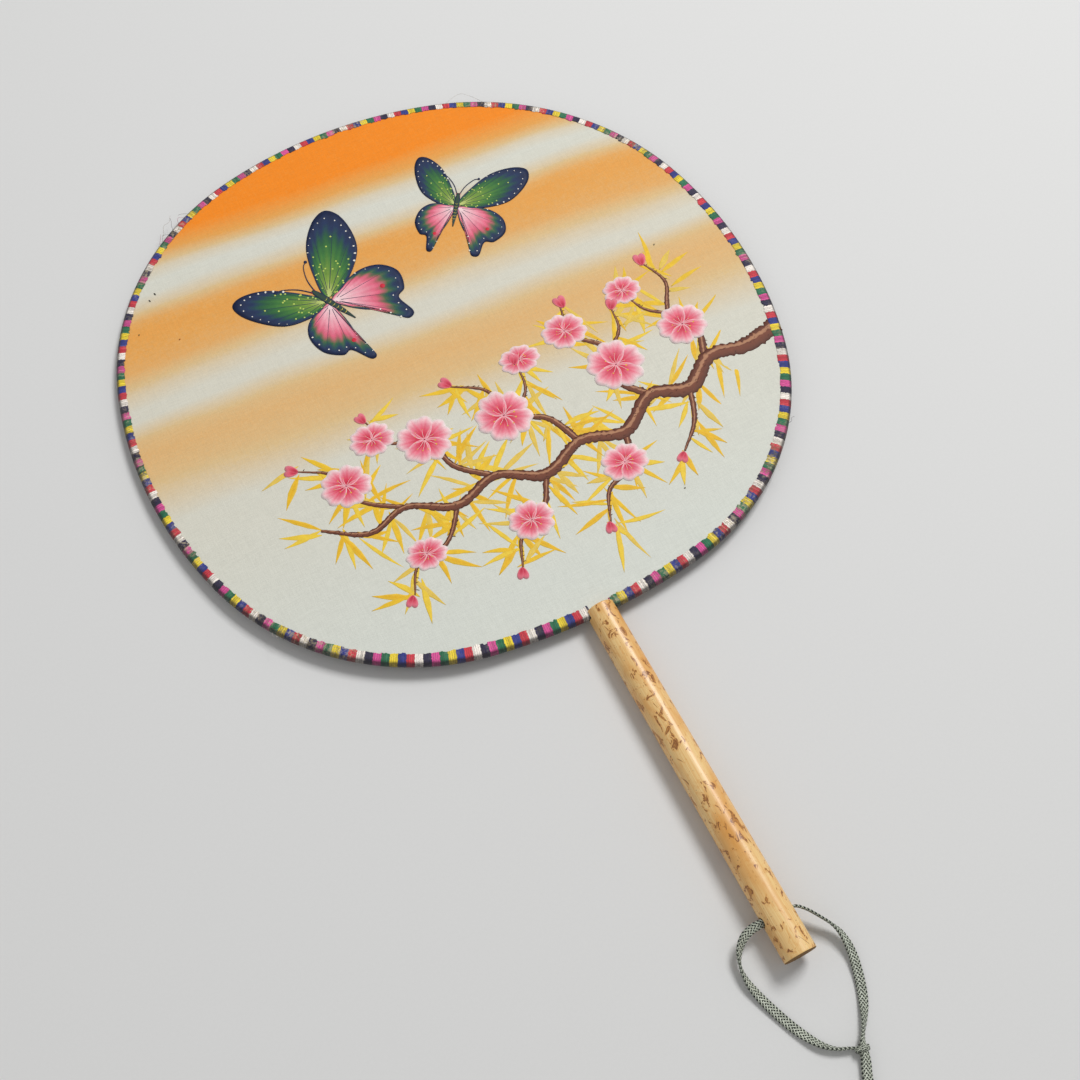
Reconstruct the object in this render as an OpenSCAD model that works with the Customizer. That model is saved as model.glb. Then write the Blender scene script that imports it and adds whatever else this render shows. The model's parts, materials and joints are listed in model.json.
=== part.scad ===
// Round hand fan: silk on a wire hoop, edged with woven tape, on a slotted cane handle with a braided cord.
// The hoop, silk, tape and handle are drawn flat in the hoop's own plane: y = 0 is the widest level,
// the handle points along -Y and +Z is the painted side. Then all of it is laid down on its back, so that
// the crown and the top of the handle touch the floor. The cord is drawn where it lies on that floor.

/* [Hoop] */
// Width of the hoop, between wire middles
hoop_w = 255.6; // [220:0.2:300]
// Height from the widest level up to the crown
hoop_up = 124.3; // [105:0.1:145]
// Height from the widest level down to the foot
hoop_down = 120.9; // [105:0.1:140]
// Radius of the crown
crown_r = 175; // [150:1:210]
// Radius of the shoulders
shoulder_r = 108; // [90:1:125]
// Radius of the sides
side_r = 164; // [140:1:190]
// Radius of the lower corners
corner_r = 99; // [80:1:115]
// Radius of the foot
foot_r = 260; // [220:1:320]

/* [Wire] */
// Diameter of the steel wire
wire_d = 2.4; // [1.8:0.1:3]
// Inner radius of the two bends above the tangs
bend_inner_r = 1.3; // [1:0.1:2]
// Length of each tang below its bend
tang_l = 24; // [12:1:40]
// Gap between the two tangs
tang_gap = 0.2; // [0.1:0.1:1]
// Thickness of the paper wound on the wire
wrap_t = 0.2; // [0.1:0.05:0.4]

/* [Silk] */
// Thickness of the pasted silk
silk_t = 0.3; // [0.2:0.05:0.5]

/* [Edge tape] */
// Thickness of the woven tape
tape_t = 0.5; // [0.3:0.05:0.8]
// Reach of the tape over the silk, from the middle of the wire
tape_reach = 3; // [2.6:0.1:6]
// Width of the strip pasted to the back of the silk
back_strip = 0.8; // [0.4:0.1:1.2]
// Distance from a wire bend to the tape's end
tape_end_gap = 0.4; // [0.2:0.1:1]

/* [Handle] */
// Length of the handle
handle_l = 140; // [100:1:200]
// Diameter at the top
handle_top_d = 11.2; // [9.6:0.1:16]
// Diameter at the butt
handle_butt_d = 12.2; // [9.6:0.1:18]
// Rounding of the two end edges
handle_round = 0.5; // [0.2:0.1:1.2]
// Rise of the two cheeks past the middle of the wire
cheek_rise = 0.9; // [0.4:0.1:3]
// Widening of the bore's mouth, so that the bends go in
mouth_flare = 0.8; // [0.4:0.1:1.2]
// Diameter of the cross hole for the cord
cord_hole_d = 4.2; // [4:0.1:6]
// Height of the cross hole above the butt
cord_hole_up = 15; // [8:1:30]

/* [Fits] */
// Clearance of the edge in the slot, on each side
slot_gap = 0.1; // [0.05:0.05:0.3]
// Clearance under the edge, at the floor of the slot
seat_gap = 0.05; // [0.02:0.01:0.3]
// Clearance round the pair of tangs
bore_gap = 0.1; // [0.05:0.05:0.3]
// Room past the ends of the tangs
bore_end_room = 1; // [0.5:0.5:5]
// Paste line between one layer and the next
paste_gap = 0.02; // [0.01:0.01:0.05]

/* [Cord] */
// Width of the flat braid
cord_w = 3.6; // [3:0.1:3.8]
// Thickness of the flat braid
cord_t = 1.4; // [1:0.1:1.6]
// Width of the half knot
knot_w = 4.4; // [4:0.1:5]
// Thickness of the half knot
knot_t = 3.4; // [3:0.1:3.8]

/* [Tassel] */
// Diameter of the bound head
head_d = 8.4; // [8:0.1:9]
// Length of the head along the cord
head_l = 7.4; // [6:0.1:7.8]
// Diameter of the bundle inside the lashing
bundle_d = 5; // [4:0.1:6]
// Thickness of the lashing
lashing_t = 0.7; // [0.5:0.1:1]
// Length of the lashing
lashing_l = 3; // [2:0.1:5]
// Length of the skirt
skirt_l = 48; // [30:1:60]
// Width of the skirt's end
skirt_w = 15; // [10:0.5:20]
// Thickness of the skirt's end
skirt_t = 4.4; // [3:0.1:6]
// Clearance between one cord piece and the next
cord_gap = 0.1; // [0.05:0.05:0.3]

/* [Hidden] */

turned_fn = 72;
cord_sides = 8;
skirt_sides = 16;
// Distance between stations round the hoop, and the turn from one corner of a round section to the next
station_step = 10;
section_turn = 30;
bend_steps = 5;
tape_turns = 9;

// Layers from the wire outwards
wire_r = wire_d / 2;
wrap_in_r = wire_r + paste_gap;
wrap_r = wrap_in_r + wrap_t;
silk_low = wrap_r + paste_gap;
silk_top = silk_low + silk_t;
tape_in_r = silk_top + paste_gap;
edge_r = tape_in_r + tape_t;

// Centres of the hoop's arcs, right half
crown_c = [0, hoop_up - crown_r];
side_c = [hoop_w / 2 - side_r, 0];
foot_c = [0, foot_r - hoop_down];
shoulder_c = tangent_centre(crown_c, crown_r - shoulder_r, side_c, side_r - shoulder_r);
corner_c = tangent_centre(side_c, side_r - corner_r, foot_c, foot_r - corner_r);

// Directions in which one arc hands over to the next
crown_to_shoulder = heading(shoulder_c - crown_c);
shoulder_to_side = heading(shoulder_c - side_c);
side_to_corner = heading(corner_c - side_c);
corner_to_foot = heading(corner_c - foot_c);

// The wire's bends and tangs
bend_r = bend_inner_r + wire_r;
tang_x = wire_r + tang_gap / 2;
bend_c = [tang_x + bend_r, foot_c.y - sqrt(pow(foot_r + bend_r, 2) - pow(tang_x + bend_r, 2))];
bend_start = heading(bend_c - foot_c);
tape_start = -acos((bend_c.x + tape_end_gap) / foot_r);

// The handle's seat on the hoop
handle_top_y = cheek_rise - hoop_down;
slot_floor_y = -hoop_down - edge_r - seat_gap;
slot_w = 2 * (edge_r + slot_gap);
bore_r = tang_x + wire_r + bore_gap;
bore_l = slot_floor_y - bend_c.y + tang_l + bore_end_room;
butt_y = handle_top_y - handle_l;

// How the fan lies: tipped a little, so that crown and handle top both touch z = 0
rest_span = hoop_up - handle_top_y + handle_round;
lay_a = atan2(handle_top_d / 2, rest_span) - asin(edge_r / norm([rest_span, handle_top_d / 2]));
lay_z = hoop_up * sin(lay_a) + edge_r;
far_y = hoop_up * cos(lay_a) + edge_r;
near_y = (butt_y + handle_round) * cos(lay_a) - (handle_butt_d / 2 - handle_round) * sin(lay_a) - handle_round;
lay_y = -(far_y + near_y) / 2;

// Route of the cord on the floor, from the knot up the left side, through the handle and back
cord_loop_route = [
    [1.7, -226, 1.5], [-3, -224, 1.3], [-8, -220, 1.1], [-12, -213, 0.9], [-15, -206, 0.9], [-18, -196.5, 1.4],
    [-19, -188.5, 2.8], [-17.5, -183.5, 4.2], [-13.5, -179.5, 5.8], [-10, -178.3, 6.9], [-7, -178.2, 7.3],
    [0, -178.2, 7.3], [7, -178.2, 7.3], [10, -180.6, 6.8], [13, -185, 5.8], [15.5, -188.5, 4.6],
    [17.2, -193, 3.4], [17.5, -199, 2], [16.2, -205, 1.2], [14.2, -211, 0.9], [12, -215.5, 0.9],
    [9.5, -219.8, 1.1], [6.8, -222.8, 1.5], [5.1, -224.4, 1.7]
];
knot_route = [[5, -224.6, 1.8], [4.5, -225.8, 1.9], [4, -227, 1.9], [3.3, -228.3, 1.8], [2.7, -229.6, 1.7]];
tail_route = [
    [2.6, -229.8, 1.7], [1.2, -233, 1.5], [-0.3, -236.5, 1.5], [-2.5, -242, 1.5], [-4.5, -249, 1.6],
    [-5.8, -255.5, 2.5], [-6.4, -260.5, 4]
];
tassel_at = [-6.5, -261];
tassel_turn = -7;
floor_gap = 0.05;

// Direction of a flat vector, in degrees
function heading(v) = atan2(v.y, v.x);
function along(a) = [cos(a), sin(a)];
function unit(v) = v / norm(v);

// The point that lies a from p and b from q, on the right of the way from p to q
function tangent_centre(p, a, q, b) =
    let (d = norm(q - p), e = (q - p) / d, run = (a * a - b * b + d * d) / (2 * d))
    p + run * e + sqrt(a * a - run * run) * [e.y, -e.x];

// The hoop's right half as arcs, from the tape's end to the crown: centre, radius, first and last direction
right_arcs = [
    [foot_c, foot_r, tape_start, corner_to_foot],
    [corner_c, corner_r, corner_to_foot, side_to_corner],
    [side_c, side_r, side_to_corner, shoulder_to_side],
    [shoulder_c, shoulder_r, shoulder_to_side, crown_to_shoulder],
    [crown_c, crown_r, crown_to_shoulder, 90]
];

// Stations along an arc: a place on the wire's middle line, and the direction that points out of the hoop there
function stations_on(arc) =
    let (steps = ceil(arc[1] * (arc[3] - arc[2]) * PI / 180 / station_step))
    [for (i = [0:steps - 1])
        let (a = arc[2] + (arc[3] - arc[2]) * i / steps) [arc[0] + arc[1] * along(a), a]];

// Adds the crown and the mirrored left half
function whole_hoop(right) = concat(
    right,
    [[crown_c + crown_r * along(90), 90]],
    [for (i = [len(right) - 1:-1:0]) [[-right[i][0].x, right[i][0].y], 180 - right[i][1]]]
);

right_half = [for (arc = right_arcs) for (station = stations_on(arc)) station];
bend = [for (i = [0:bend_steps]) let (a = bend_start * i / bend_steps) [bend_c - bend_r * along(a), a]];
tang_end = [[tang_x, bend_c.y - tang_l], 0];
edge_stations = whole_hoop(right_half);
wrap_stations = whole_hoop(concat([bend[bend_steps]], right_half));
wire_stations = whole_hoop(concat([tang_end], bend, right_half));

// Corners of a round section between two directions
function round_row(r, from, to, turns) =
    [for (i = [0:turns]) r * along(from + (to - from) * i / turns)];
function reversed(list) = [for (i = [len(list) - 1:-1:0]) list[i]];

// The section's corners (x outwards, y up) set at each station
function rings_at(stations, section) = [
    for (station = stations)
        [for (p = section)
            [station[0].x + p.x * cos(station[1]), station[0].y + p.x * sin(station[1]), p.y]]
];

// Faces of the skin between neighbouring rings, for the corners first to first + count - 1 of each ring
function walls(ring_count, corners, first, count, closed = true) = [
    for (i = [0:ring_count - 2])
        for (k = [0:count - (closed ? 1 : 2)])
            let (a = i * corners + first + k, b = i * corners + first + (k + 1) % count)
            for (face = [[a, b, b + corners], [a, b + corners, a + corners]]) face
];

// A cap at both ends, from the faces that fill one section
function caps(ring_count, corners, faces) =
    concat([for (f = faces) reversed(f)], [for (f = faces) [for (k = f) k + (ring_count - 1) * corners]]);

function fan_fill(corners) = [for (k = [1:corners - 2]) [0, k, k + 1]];
// Fills a band whose first half of corners runs along one side and whose second half runs back along the other
function band_fill(corners) = [
    for (k = [0:corners / 2 - 2])
        for (face = [[k, k + 1, corners - 2 - k], [k, corners - 2 - k, corners - 1 - k]]) face
];

// A solid skinned over rings of corners
module skinned(rings, fill) {
    corners = len(rings[0]);
    polyhedron(
        points = [for (ring = rings) for (p = ring) p],
        faces = concat(walls(len(rings), corners, 0, corners), caps(len(rings), corners, fill))
    );
}

// Lays the flat fan down on its back
module lay_down() {
    translate([0, lay_y, lay_z]) rotate([-lay_a, 0, 0]) children();
}

module rim_wire() {
    sides = 360 / section_turn;
    section = round_row(wire_r, 0, 360 - section_turn, sides - 1);
    color("#8d9096") lay_down() skinned(rings_at(wire_stations, section), fan_fill(sides));
}

// A paper tube round the wire, open at the two bends
module wire_wrap() {
    sides = 360 / section_turn;
    outer = round_row(wrap_r, 0, 360 - section_turn, sides - 1);
    inner = round_row(wrap_in_r, 0, 360 - section_turn, sides - 1);
    rings = rings_at(wrap_stations, concat(outer, inner));
    fill = [for (k = [0:sides - 1]) let (next = (k + 1) % sides)
        for (face = [[k, next, next + sides], [k, next + sides, k + sides]]) face];
    color("#e9e2cf") lay_down() polyhedron(
        points = [for (ring = rings) for (p = ring) p],
        faces = concat(
            walls(len(rings), 2 * sides, 0, sides),
            [for (face = walls(len(rings), 2 * sides, sides, sides)) reversed(face)],
            caps(len(rings), 2 * sides, fill)
        )
    );
}

// A flat sheet on the front of the hoop, its edge turned down round the outside of the wire
module silk_screen() {
    turns = 180 / section_turn;
    section = concat(round_row(silk_low, 90, -90, turns), round_row(silk_top, -90, 90, turns));
    corners = len(section);
    rings = rings_at(edge_stations, section);
    last = (len(rings) - 1) * corners;
    color("#d3d7cf") lay_down() polyhedron(
        points = [for (ring = rings) for (p = ring) p],
        faces = concat(
            walls(len(rings), corners, 0, corners, false),
            caps(len(rings), corners, band_fill(corners)),
            [[for (i = [0:corners:last]) i]],
            [[for (i = [last:-corners:0]) i + corners - 1]],
            [[last + corners - 1, corners - 1, 0], [last + corners - 1, 0, last]]
        )
    );
}

// Section of the folded tape: a flat strip on the front, then round the wire, then up to the back of the silk
function tape_section() =
    let (back_y = silk_low - paste_gap,
         leg_foot = [back_strip - tape_reach, back_y],
         turn = heading(leg_foot) + acos(tape_in_r / norm(leg_foot)) - 360,
         leg_in = tape_in_r * along(turn),
         leg_out = edge_r * along(turn),
         leg_way = leg_foot - leg_in,
         low_y = back_y - tape_t,
         knee = leg_out + leg_way * (low_y - leg_out.y) / leg_way.y,
         widen = 1 / cos((90 - turn) / tape_turns / 2),
         outer = concat([[-tape_reach, edge_r]], round_row(edge_r, 90, turn, tape_turns), [knee, [-tape_reach, low_y]]),
         round_in = [for (i = [1:tape_turns - 1])
             tape_in_r * widen * along(90 + (turn - 90) * i / tape_turns)],
         inner = concat([[-tape_reach, tape_in_r], [0, tape_in_r]], round_in,
             [leg_in, leg_foot, [-tape_reach, back_y]]))
    concat(inner, reversed(outer));

module edge_binding() {
    section = tape_section();
    color("#c8324a") lay_down() skinned(rings_at(edge_stations, section), band_fill(len(section)));
}

// Half profile of the turned cane, from its top end down
function handle_profile() =
    let (top_r = handle_top_d / 2, butt_r = handle_butt_d / 2, e = handle_round)
    concat(
        [[0, 0]],
        [for (a = [0:15:90]) [top_r - e + e * sin(a), e - e * cos(a)]],
        [for (a = [0:15:90]) [butt_r - e + e * cos(a), handle_l - e + e * sin(a)]],
        [[0, handle_l]]
    );

module handle() {
    color("#dba24e") lay_down() difference() {
        translate([0, handle_top_y, 0]) rotate([90, 0, 0])
            rotate_extrude($fn = turned_fn) polygon(handle_profile());
        translate([-handle_top_d, slot_floor_y, -slot_w / 2])
            cube([2 * handle_top_d, 2 * (handle_top_y - slot_floor_y), slot_w]);
        translate([0, slot_floor_y, 0]) rotate([90, 0, 0]) {
            cylinder(r = bore_r, h = bore_l, $fn = turned_fn);
            cylinder(r1 = bore_r + mouth_flare, r2 = bore_r, h = mouth_flare, $fn = turned_fn);
        }
        translate([-handle_butt_d, butt_y + cord_hole_up, 0]) rotate([0, 90, 0])
            cylinder(d = cord_hole_d, h = 2 * handle_butt_d, $fn = turned_fn);
    }
}

// A closed tube with flattened rings along a route; sizes holds each ring's width and thickness
module flat_tube(route, sizes, sides = cord_sides) {
    last = len(route) - 1;
    rings = [
        for (i = [0:last])
            let (way = unit(route[min(i + 1, last)] - route[max(i - 1, 0)]),
                 across = unit(cross(way, [0, 0, 1])),
                 up = cross(across, way))
            [for (k = [0:sides - 1])
                route[i] + across * sizes[i][0] / 2 * cos(360 * k / sides)
                         + up * sizes[i][1] / 2 * sin(360 * k / sides)]
    ];
    skinned(rings, fan_fill(sides));
}

module cord_loop() {
    color("#8f9a8c") flat_tube(cord_loop_route, [for (p = cord_loop_route) [cord_w, cord_t]]);
}

module cord_knot() {
    swell = [0.75, 0.95, 1, 0.95, 0.85];
    color("#7e897c") flat_tube(knot_route, [for (s = swell) s * [knot_w, knot_t]]);
}

// The two ends lie one on the other
module cord_tail() {
    color("#8f9a8c") flat_tube(tail_route, [for (p = tail_route) [cord_w * 1.2, cord_t * 2]]);
}

// The tassel lies along -Y of its own frame, its head resting on the floor
module tassel_place() {
    translate([tassel_at.x, tassel_at.y, head_d / 2 + floor_gap]) rotate(tassel_turn) children();
}

module tassel_head() {
    color("#7e897c") tassel_place() translate([0, -head_l / 2, 0]) intersection() {
        sphere(d = head_d, $fn = turned_fn);
        cube([head_d, head_l, head_d], center = true);
    }
}

module tassel_neck() {
    color("#6f7a6e") tassel_place() translate([0, -head_l - cord_gap, 0]) rotate([90, 0, 0])
        difference() {
            cylinder(d = bundle_d + 2 * (cord_gap + lashing_t), h = lashing_l, $fn = turned_fn);
            cylinder(d = bundle_d + 2 * cord_gap, h = lashing_l, $fn = turned_fn);
        }
}

// The strands leave the lashing as a round bundle, spread and settle on the floor
module tassel_skirt() {
    steps = 8;
    start = head_l + cord_gap;
    drop = (head_d - bundle_d) / 2;
    spread = [for (i = [0:steps]) sin(90 * i / steps)];
    sizes = concat([[bundle_d, bundle_d]],
        [for (s = spread) [bundle_d + (skirt_w - bundle_d) * s, bundle_d + (skirt_t - bundle_d) * s]]);
    route = concat([[0, -start, 0]],
        [for (i = [0:steps])
            [0, -start - lashing_l - (skirt_l - lashing_l) * i / steps,
             drop * (pow(1 - i / steps, 2) - 1) + (skirt_t - bundle_d) * spread[i] / 2]]);
    color("#8f9a8c") tassel_place() flat_tube(route, sizes, skirt_sides);
}

rim_wire();
wire_wrap();
silk_screen();
edge_binding();
handle();
cord_loop();
cord_knot();
cord_tail();
tassel_head();
tassel_neck();
tassel_skirt();
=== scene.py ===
# Round silk hand fan over its CAD frame: striped tape, painted silk, lacquered cane, braided cord and tassel.
# Metres in the frame's own axes: the fan lies on its back, its handle along -Y and its painted side up.
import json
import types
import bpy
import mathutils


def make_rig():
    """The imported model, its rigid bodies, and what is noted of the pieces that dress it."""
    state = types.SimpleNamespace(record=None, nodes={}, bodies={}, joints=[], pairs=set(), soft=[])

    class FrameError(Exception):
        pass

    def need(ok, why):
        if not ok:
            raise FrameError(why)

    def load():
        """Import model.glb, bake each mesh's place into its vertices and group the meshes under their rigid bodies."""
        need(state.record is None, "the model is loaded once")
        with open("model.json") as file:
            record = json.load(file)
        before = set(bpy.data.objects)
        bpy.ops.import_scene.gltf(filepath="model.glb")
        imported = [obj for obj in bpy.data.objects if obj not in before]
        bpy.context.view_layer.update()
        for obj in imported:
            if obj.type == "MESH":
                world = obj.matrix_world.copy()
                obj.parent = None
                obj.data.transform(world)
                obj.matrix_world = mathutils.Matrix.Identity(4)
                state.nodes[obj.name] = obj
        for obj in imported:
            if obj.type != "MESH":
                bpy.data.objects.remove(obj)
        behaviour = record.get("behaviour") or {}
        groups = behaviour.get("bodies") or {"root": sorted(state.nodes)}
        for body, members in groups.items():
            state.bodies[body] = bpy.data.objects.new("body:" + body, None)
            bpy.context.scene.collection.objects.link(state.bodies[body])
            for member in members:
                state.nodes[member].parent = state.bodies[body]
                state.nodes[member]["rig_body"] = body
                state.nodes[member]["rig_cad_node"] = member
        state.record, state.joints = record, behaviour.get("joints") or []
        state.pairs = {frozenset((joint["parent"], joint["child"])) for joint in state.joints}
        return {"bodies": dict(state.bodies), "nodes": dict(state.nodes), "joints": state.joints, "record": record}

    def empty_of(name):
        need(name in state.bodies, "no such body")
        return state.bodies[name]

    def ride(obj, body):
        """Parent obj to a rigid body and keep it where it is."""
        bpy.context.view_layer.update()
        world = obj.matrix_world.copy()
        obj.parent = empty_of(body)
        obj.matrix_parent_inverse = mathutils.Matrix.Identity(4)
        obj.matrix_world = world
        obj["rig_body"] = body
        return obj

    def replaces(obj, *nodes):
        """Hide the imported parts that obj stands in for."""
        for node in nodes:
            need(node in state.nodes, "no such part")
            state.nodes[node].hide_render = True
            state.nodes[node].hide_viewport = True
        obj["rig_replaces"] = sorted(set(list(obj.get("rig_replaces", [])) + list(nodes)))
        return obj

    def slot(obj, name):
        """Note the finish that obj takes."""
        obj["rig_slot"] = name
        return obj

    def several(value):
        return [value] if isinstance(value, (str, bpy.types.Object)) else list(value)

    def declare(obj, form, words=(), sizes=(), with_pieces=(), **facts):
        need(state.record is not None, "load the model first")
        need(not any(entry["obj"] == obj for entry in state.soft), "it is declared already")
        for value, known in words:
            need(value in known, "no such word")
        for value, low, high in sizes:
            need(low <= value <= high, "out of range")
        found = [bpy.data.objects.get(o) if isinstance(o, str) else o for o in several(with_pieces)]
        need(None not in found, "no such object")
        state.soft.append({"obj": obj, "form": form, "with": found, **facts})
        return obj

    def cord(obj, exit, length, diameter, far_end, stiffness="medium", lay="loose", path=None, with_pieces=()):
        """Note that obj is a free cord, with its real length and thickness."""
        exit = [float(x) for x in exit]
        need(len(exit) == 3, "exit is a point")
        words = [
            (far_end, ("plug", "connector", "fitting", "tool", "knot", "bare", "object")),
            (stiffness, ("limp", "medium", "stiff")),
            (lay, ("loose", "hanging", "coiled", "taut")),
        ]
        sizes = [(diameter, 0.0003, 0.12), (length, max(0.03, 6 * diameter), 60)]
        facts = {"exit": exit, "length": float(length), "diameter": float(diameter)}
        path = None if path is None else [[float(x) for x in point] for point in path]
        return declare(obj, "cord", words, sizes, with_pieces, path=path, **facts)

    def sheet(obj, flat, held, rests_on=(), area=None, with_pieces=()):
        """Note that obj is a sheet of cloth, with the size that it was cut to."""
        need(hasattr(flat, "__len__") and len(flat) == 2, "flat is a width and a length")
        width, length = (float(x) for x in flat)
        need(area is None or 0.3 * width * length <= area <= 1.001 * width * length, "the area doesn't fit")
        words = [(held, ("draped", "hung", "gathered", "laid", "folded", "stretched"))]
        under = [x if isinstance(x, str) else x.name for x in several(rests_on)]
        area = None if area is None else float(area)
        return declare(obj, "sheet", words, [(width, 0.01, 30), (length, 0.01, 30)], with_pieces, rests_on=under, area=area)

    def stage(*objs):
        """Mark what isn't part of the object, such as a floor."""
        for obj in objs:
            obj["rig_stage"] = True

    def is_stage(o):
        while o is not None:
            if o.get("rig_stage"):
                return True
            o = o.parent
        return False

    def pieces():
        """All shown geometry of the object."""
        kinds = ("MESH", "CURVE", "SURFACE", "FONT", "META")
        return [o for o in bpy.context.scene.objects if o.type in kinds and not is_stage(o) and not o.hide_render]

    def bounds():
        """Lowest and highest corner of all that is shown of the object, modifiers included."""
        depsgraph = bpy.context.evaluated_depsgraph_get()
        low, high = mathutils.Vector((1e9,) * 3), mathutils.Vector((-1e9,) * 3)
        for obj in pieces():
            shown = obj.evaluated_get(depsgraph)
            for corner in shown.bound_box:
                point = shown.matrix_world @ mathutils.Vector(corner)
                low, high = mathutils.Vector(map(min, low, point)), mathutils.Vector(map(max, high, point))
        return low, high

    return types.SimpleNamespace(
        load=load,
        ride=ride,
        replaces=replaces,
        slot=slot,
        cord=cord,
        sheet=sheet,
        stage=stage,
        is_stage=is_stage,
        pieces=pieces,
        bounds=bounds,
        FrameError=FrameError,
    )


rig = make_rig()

bl_info = {
    "name": "Round silk hand fan",
    "version": (1, 0, 0),
    "blender": (4, 5, 0),
    "location": "View3D > Sidebar > Fan",
    "description": "Silk, striped tape, lacquered cane, braided cord and tassel of a round hand fan",
    "category": "Add Mesh",
}

import json
import math
import random
from functools import partial

import bmesh
import bpy
import numpy as np
from bpy.props import FloatProperty, FloatVectorProperty, IntProperty, PointerProperty
from bpy.types import Operator, Panel, PropertyGroup
from mathutils import Matrix, Vector

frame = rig.load()
cad_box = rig.bounds()

BODY = "root"
SIZE_FILE = "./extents.json"
# Millimetres in a metre: the tables of places are in millimetres
MILLI = 1000


def linear(code):
    """An sRGB hex colour as linear red, green and blue"""
    values = [int(code[i:i + 2], 16) / 255 for i in (1, 3, 5)]
    return tuple(v / 12.92 if v <= 0.04045 else ((v + 0.055) / 1.055) ** 2.4 for v in values)


def length(name, description, default):
    return FloatProperty(name=name, description=description, default=default, unit="LENGTH", precision=5)


def amount(name, description, default):
    return FloatProperty(name=name, description=description, default=default)


def count(name, description, default):
    return IntProperty(name=name, description=description, default=default, min=1)


def colour(name, description, code):
    return FloatVectorProperty(name=name, description=description, default=linear(code), subtype="COLOR",
                               min=0, max=1)


def angle(name, description, degrees):
    return FloatProperty(name=name, description=description, default=math.radians(degrees), subtype="ANGLE")


class HoopSizes(PropertyGroup):
    width: length("Width", "Width of the hoop between wire middles", 0.2556)
    up: length("Rise", "Height from the widest level to the crown", 0.1243)
    down: length("Drop", "Height from the widest level to the foot", 0.1209)
    crown_radius: length("Crown radius", "Radius of the crown", 0.175)
    shoulder_radius: length("Shoulder radius", "Radius of the shoulders", 0.108)
    side_radius: length("Side radius", "Radius of the sides", 0.164)
    corner_radius: length("Corner radius", "Radius of the lower corners", 0.099)
    foot_radius: length("Foot radius", "Radius of the foot", 0.26)
    silk_low: length("Silk underside", "Height of the silk's underside above the wire's middle", 0.00144)
    silk_top: length("Silk face", "Height of the silk's face above the wire's middle", 0.00174)
    edge_radius: length("Edge radius", "Outer radius of the edge round the wire", 0.00226)
    tape_half_gap: length("Tape end", "Distance of the tape's ends from the middle of the foot", 0.0042)


class HandleSizes(PropertyGroup):
    top: length("Top", "Level of the handle's upper end", -0.12)
    butt: length("Butt", "Level of the handle's lower end", -0.26)
    top_diameter: length("Top diameter", "Diameter at the upper end", 0.0112)
    butt_diameter: length("Butt diameter", "Diameter at the lower end", 0.0122)
    rounding: length("Rounding", "Rounding of the two end edges", 0.0005)
    crack_start: FloatVectorProperty(
        name="Crack start", description="Upper end of the hairline crack, in the fan's frame",
        default=(0.0009, -0.1876, 0.0075), subtype="TRANSLATION", precision=5)
    crack_way: FloatVectorProperty(
        name="Crack way", description="Direction of the hairline crack",
        default=(0.48, -0.877, 0), subtype="DIRECTION")
    crack_long: length("Crack length", "Length of the hairline crack", 0.0045)
    crack_half_width: length("Crack half width", "Half the width of the hairline crack", 0.00008)
    honey: colour("Honey", "Lacquered cane", "#F3D08E")
    amber: colour("Amber", "Lacquered cane, deep patches", "#DB9539")
    ochre: colour("Ochre", "Inside of the cane's spots", "#BC7A26")
    fleck: colour("Fleck", "Brown edges of the cane's spots", "#7E4512")
    cut: colour("Cut end", "Bare end grain of the cane", "#8F6833")


class TapeLooks(PropertyGroup):
    thread: length("Thread spacing", "Distance between cross threads", 0.000756)
    per_stripe: count("Threads in a stripe", "Cross threads of one colour", 4)
    first_stripe: length("First stripe", "Place of the first stripe's start along the hoop", -0.0015)
    drift: length("Drift", "How far the stripes wander from even spacing", 0.0019)
    reach: length("Reach", "Reach of the front strip over the silk", 0.003)
    ridge: length("Ridge", "Height of one thread over its neighbours' valley", 0.00011)
    fibre: length("Fibre", "Loose fibre, drawn three times as thick as a real one so that it shows", 0.00012)
    green: colour("Green", "Green thread", "#14704B")
    yellow: colour("Yellow", "Yellow thread", "#F2D52C")
    blue: colour("Blue", "Royal blue thread", "#22328A")
    red: colour("Red", "Red thread", "#D22F42")
    white: colour("White", "White thread", "#F5ECE2")
    navy: colour("Navy", "Dark navy thread", "#1E1740")
    pink: colour("Pink", "Pink thread", "#DD4C98")
    worn: colour("Worn", "Cream base thread where the tape is worn", "#CDBE9E")
    olive: colour("Olive", "Olive base thread where the tape is worn", "#5D5238")
    soil: colour("Soil", "Dirt on the tape's outer side", "#1E1A22")


class SilkLooks(PropertyGroup):
    ground: colour("Ground", "Undyed silk", "#D9DCD3")
    faint: colour("Faint dye", "Thin airbrushed dye", "#DFC08C")
    middling: colour("Middling dye", "Airbrushed dye of middle strength", "#E9A652")
    orange: colour("Orange", "Airbrushed dye", "#F98C12")
    thread: length("Thread spacing", "Weave drawn at the finest size that shows", 0.0005)
    band_turn: angle("Band turn", "Turn of the airbrushed bands in the fan's plane", -2.5)


class CordLooks(PropertyGroup):
    width: length("Width", "Width of the flat braid", 0.0036)
    thickness: length("Thickness", "Thickness of the flat braid", 0.0011)
    lead: length("Lead", "Length in which one yarn goes once round the braid", 0.0084)
    yarns: count("Yarns", "Yarns that turn one way, as many turn the other", 6)
    pale: colour("Pale", "Crown of a yarn", "#E9F0DC")
    deep: colour("Deep", "Yarn in the gaps", "#232A24")
    thread: colour("Tassel thread", "Tassel strands", "#8A9483")


class StageLooks(PropertyGroup):
    floor: colour("Floor", "Plain pale floor", "#DFDFDE")
    key_power: amount("Key power", "Strength of the large soft lamp at the upper right", 25.0)
    fill_power: amount("Fill power", "Strength of the soft lamp at the left", 2.0)
    sky: amount("Sky", "Strength of the even light from all round", 0.34)
    lens: FloatProperty(
        name="Lens", description="Focal length on a 36 mm sensor", default=50.06, unit="CAMERA")


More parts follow.
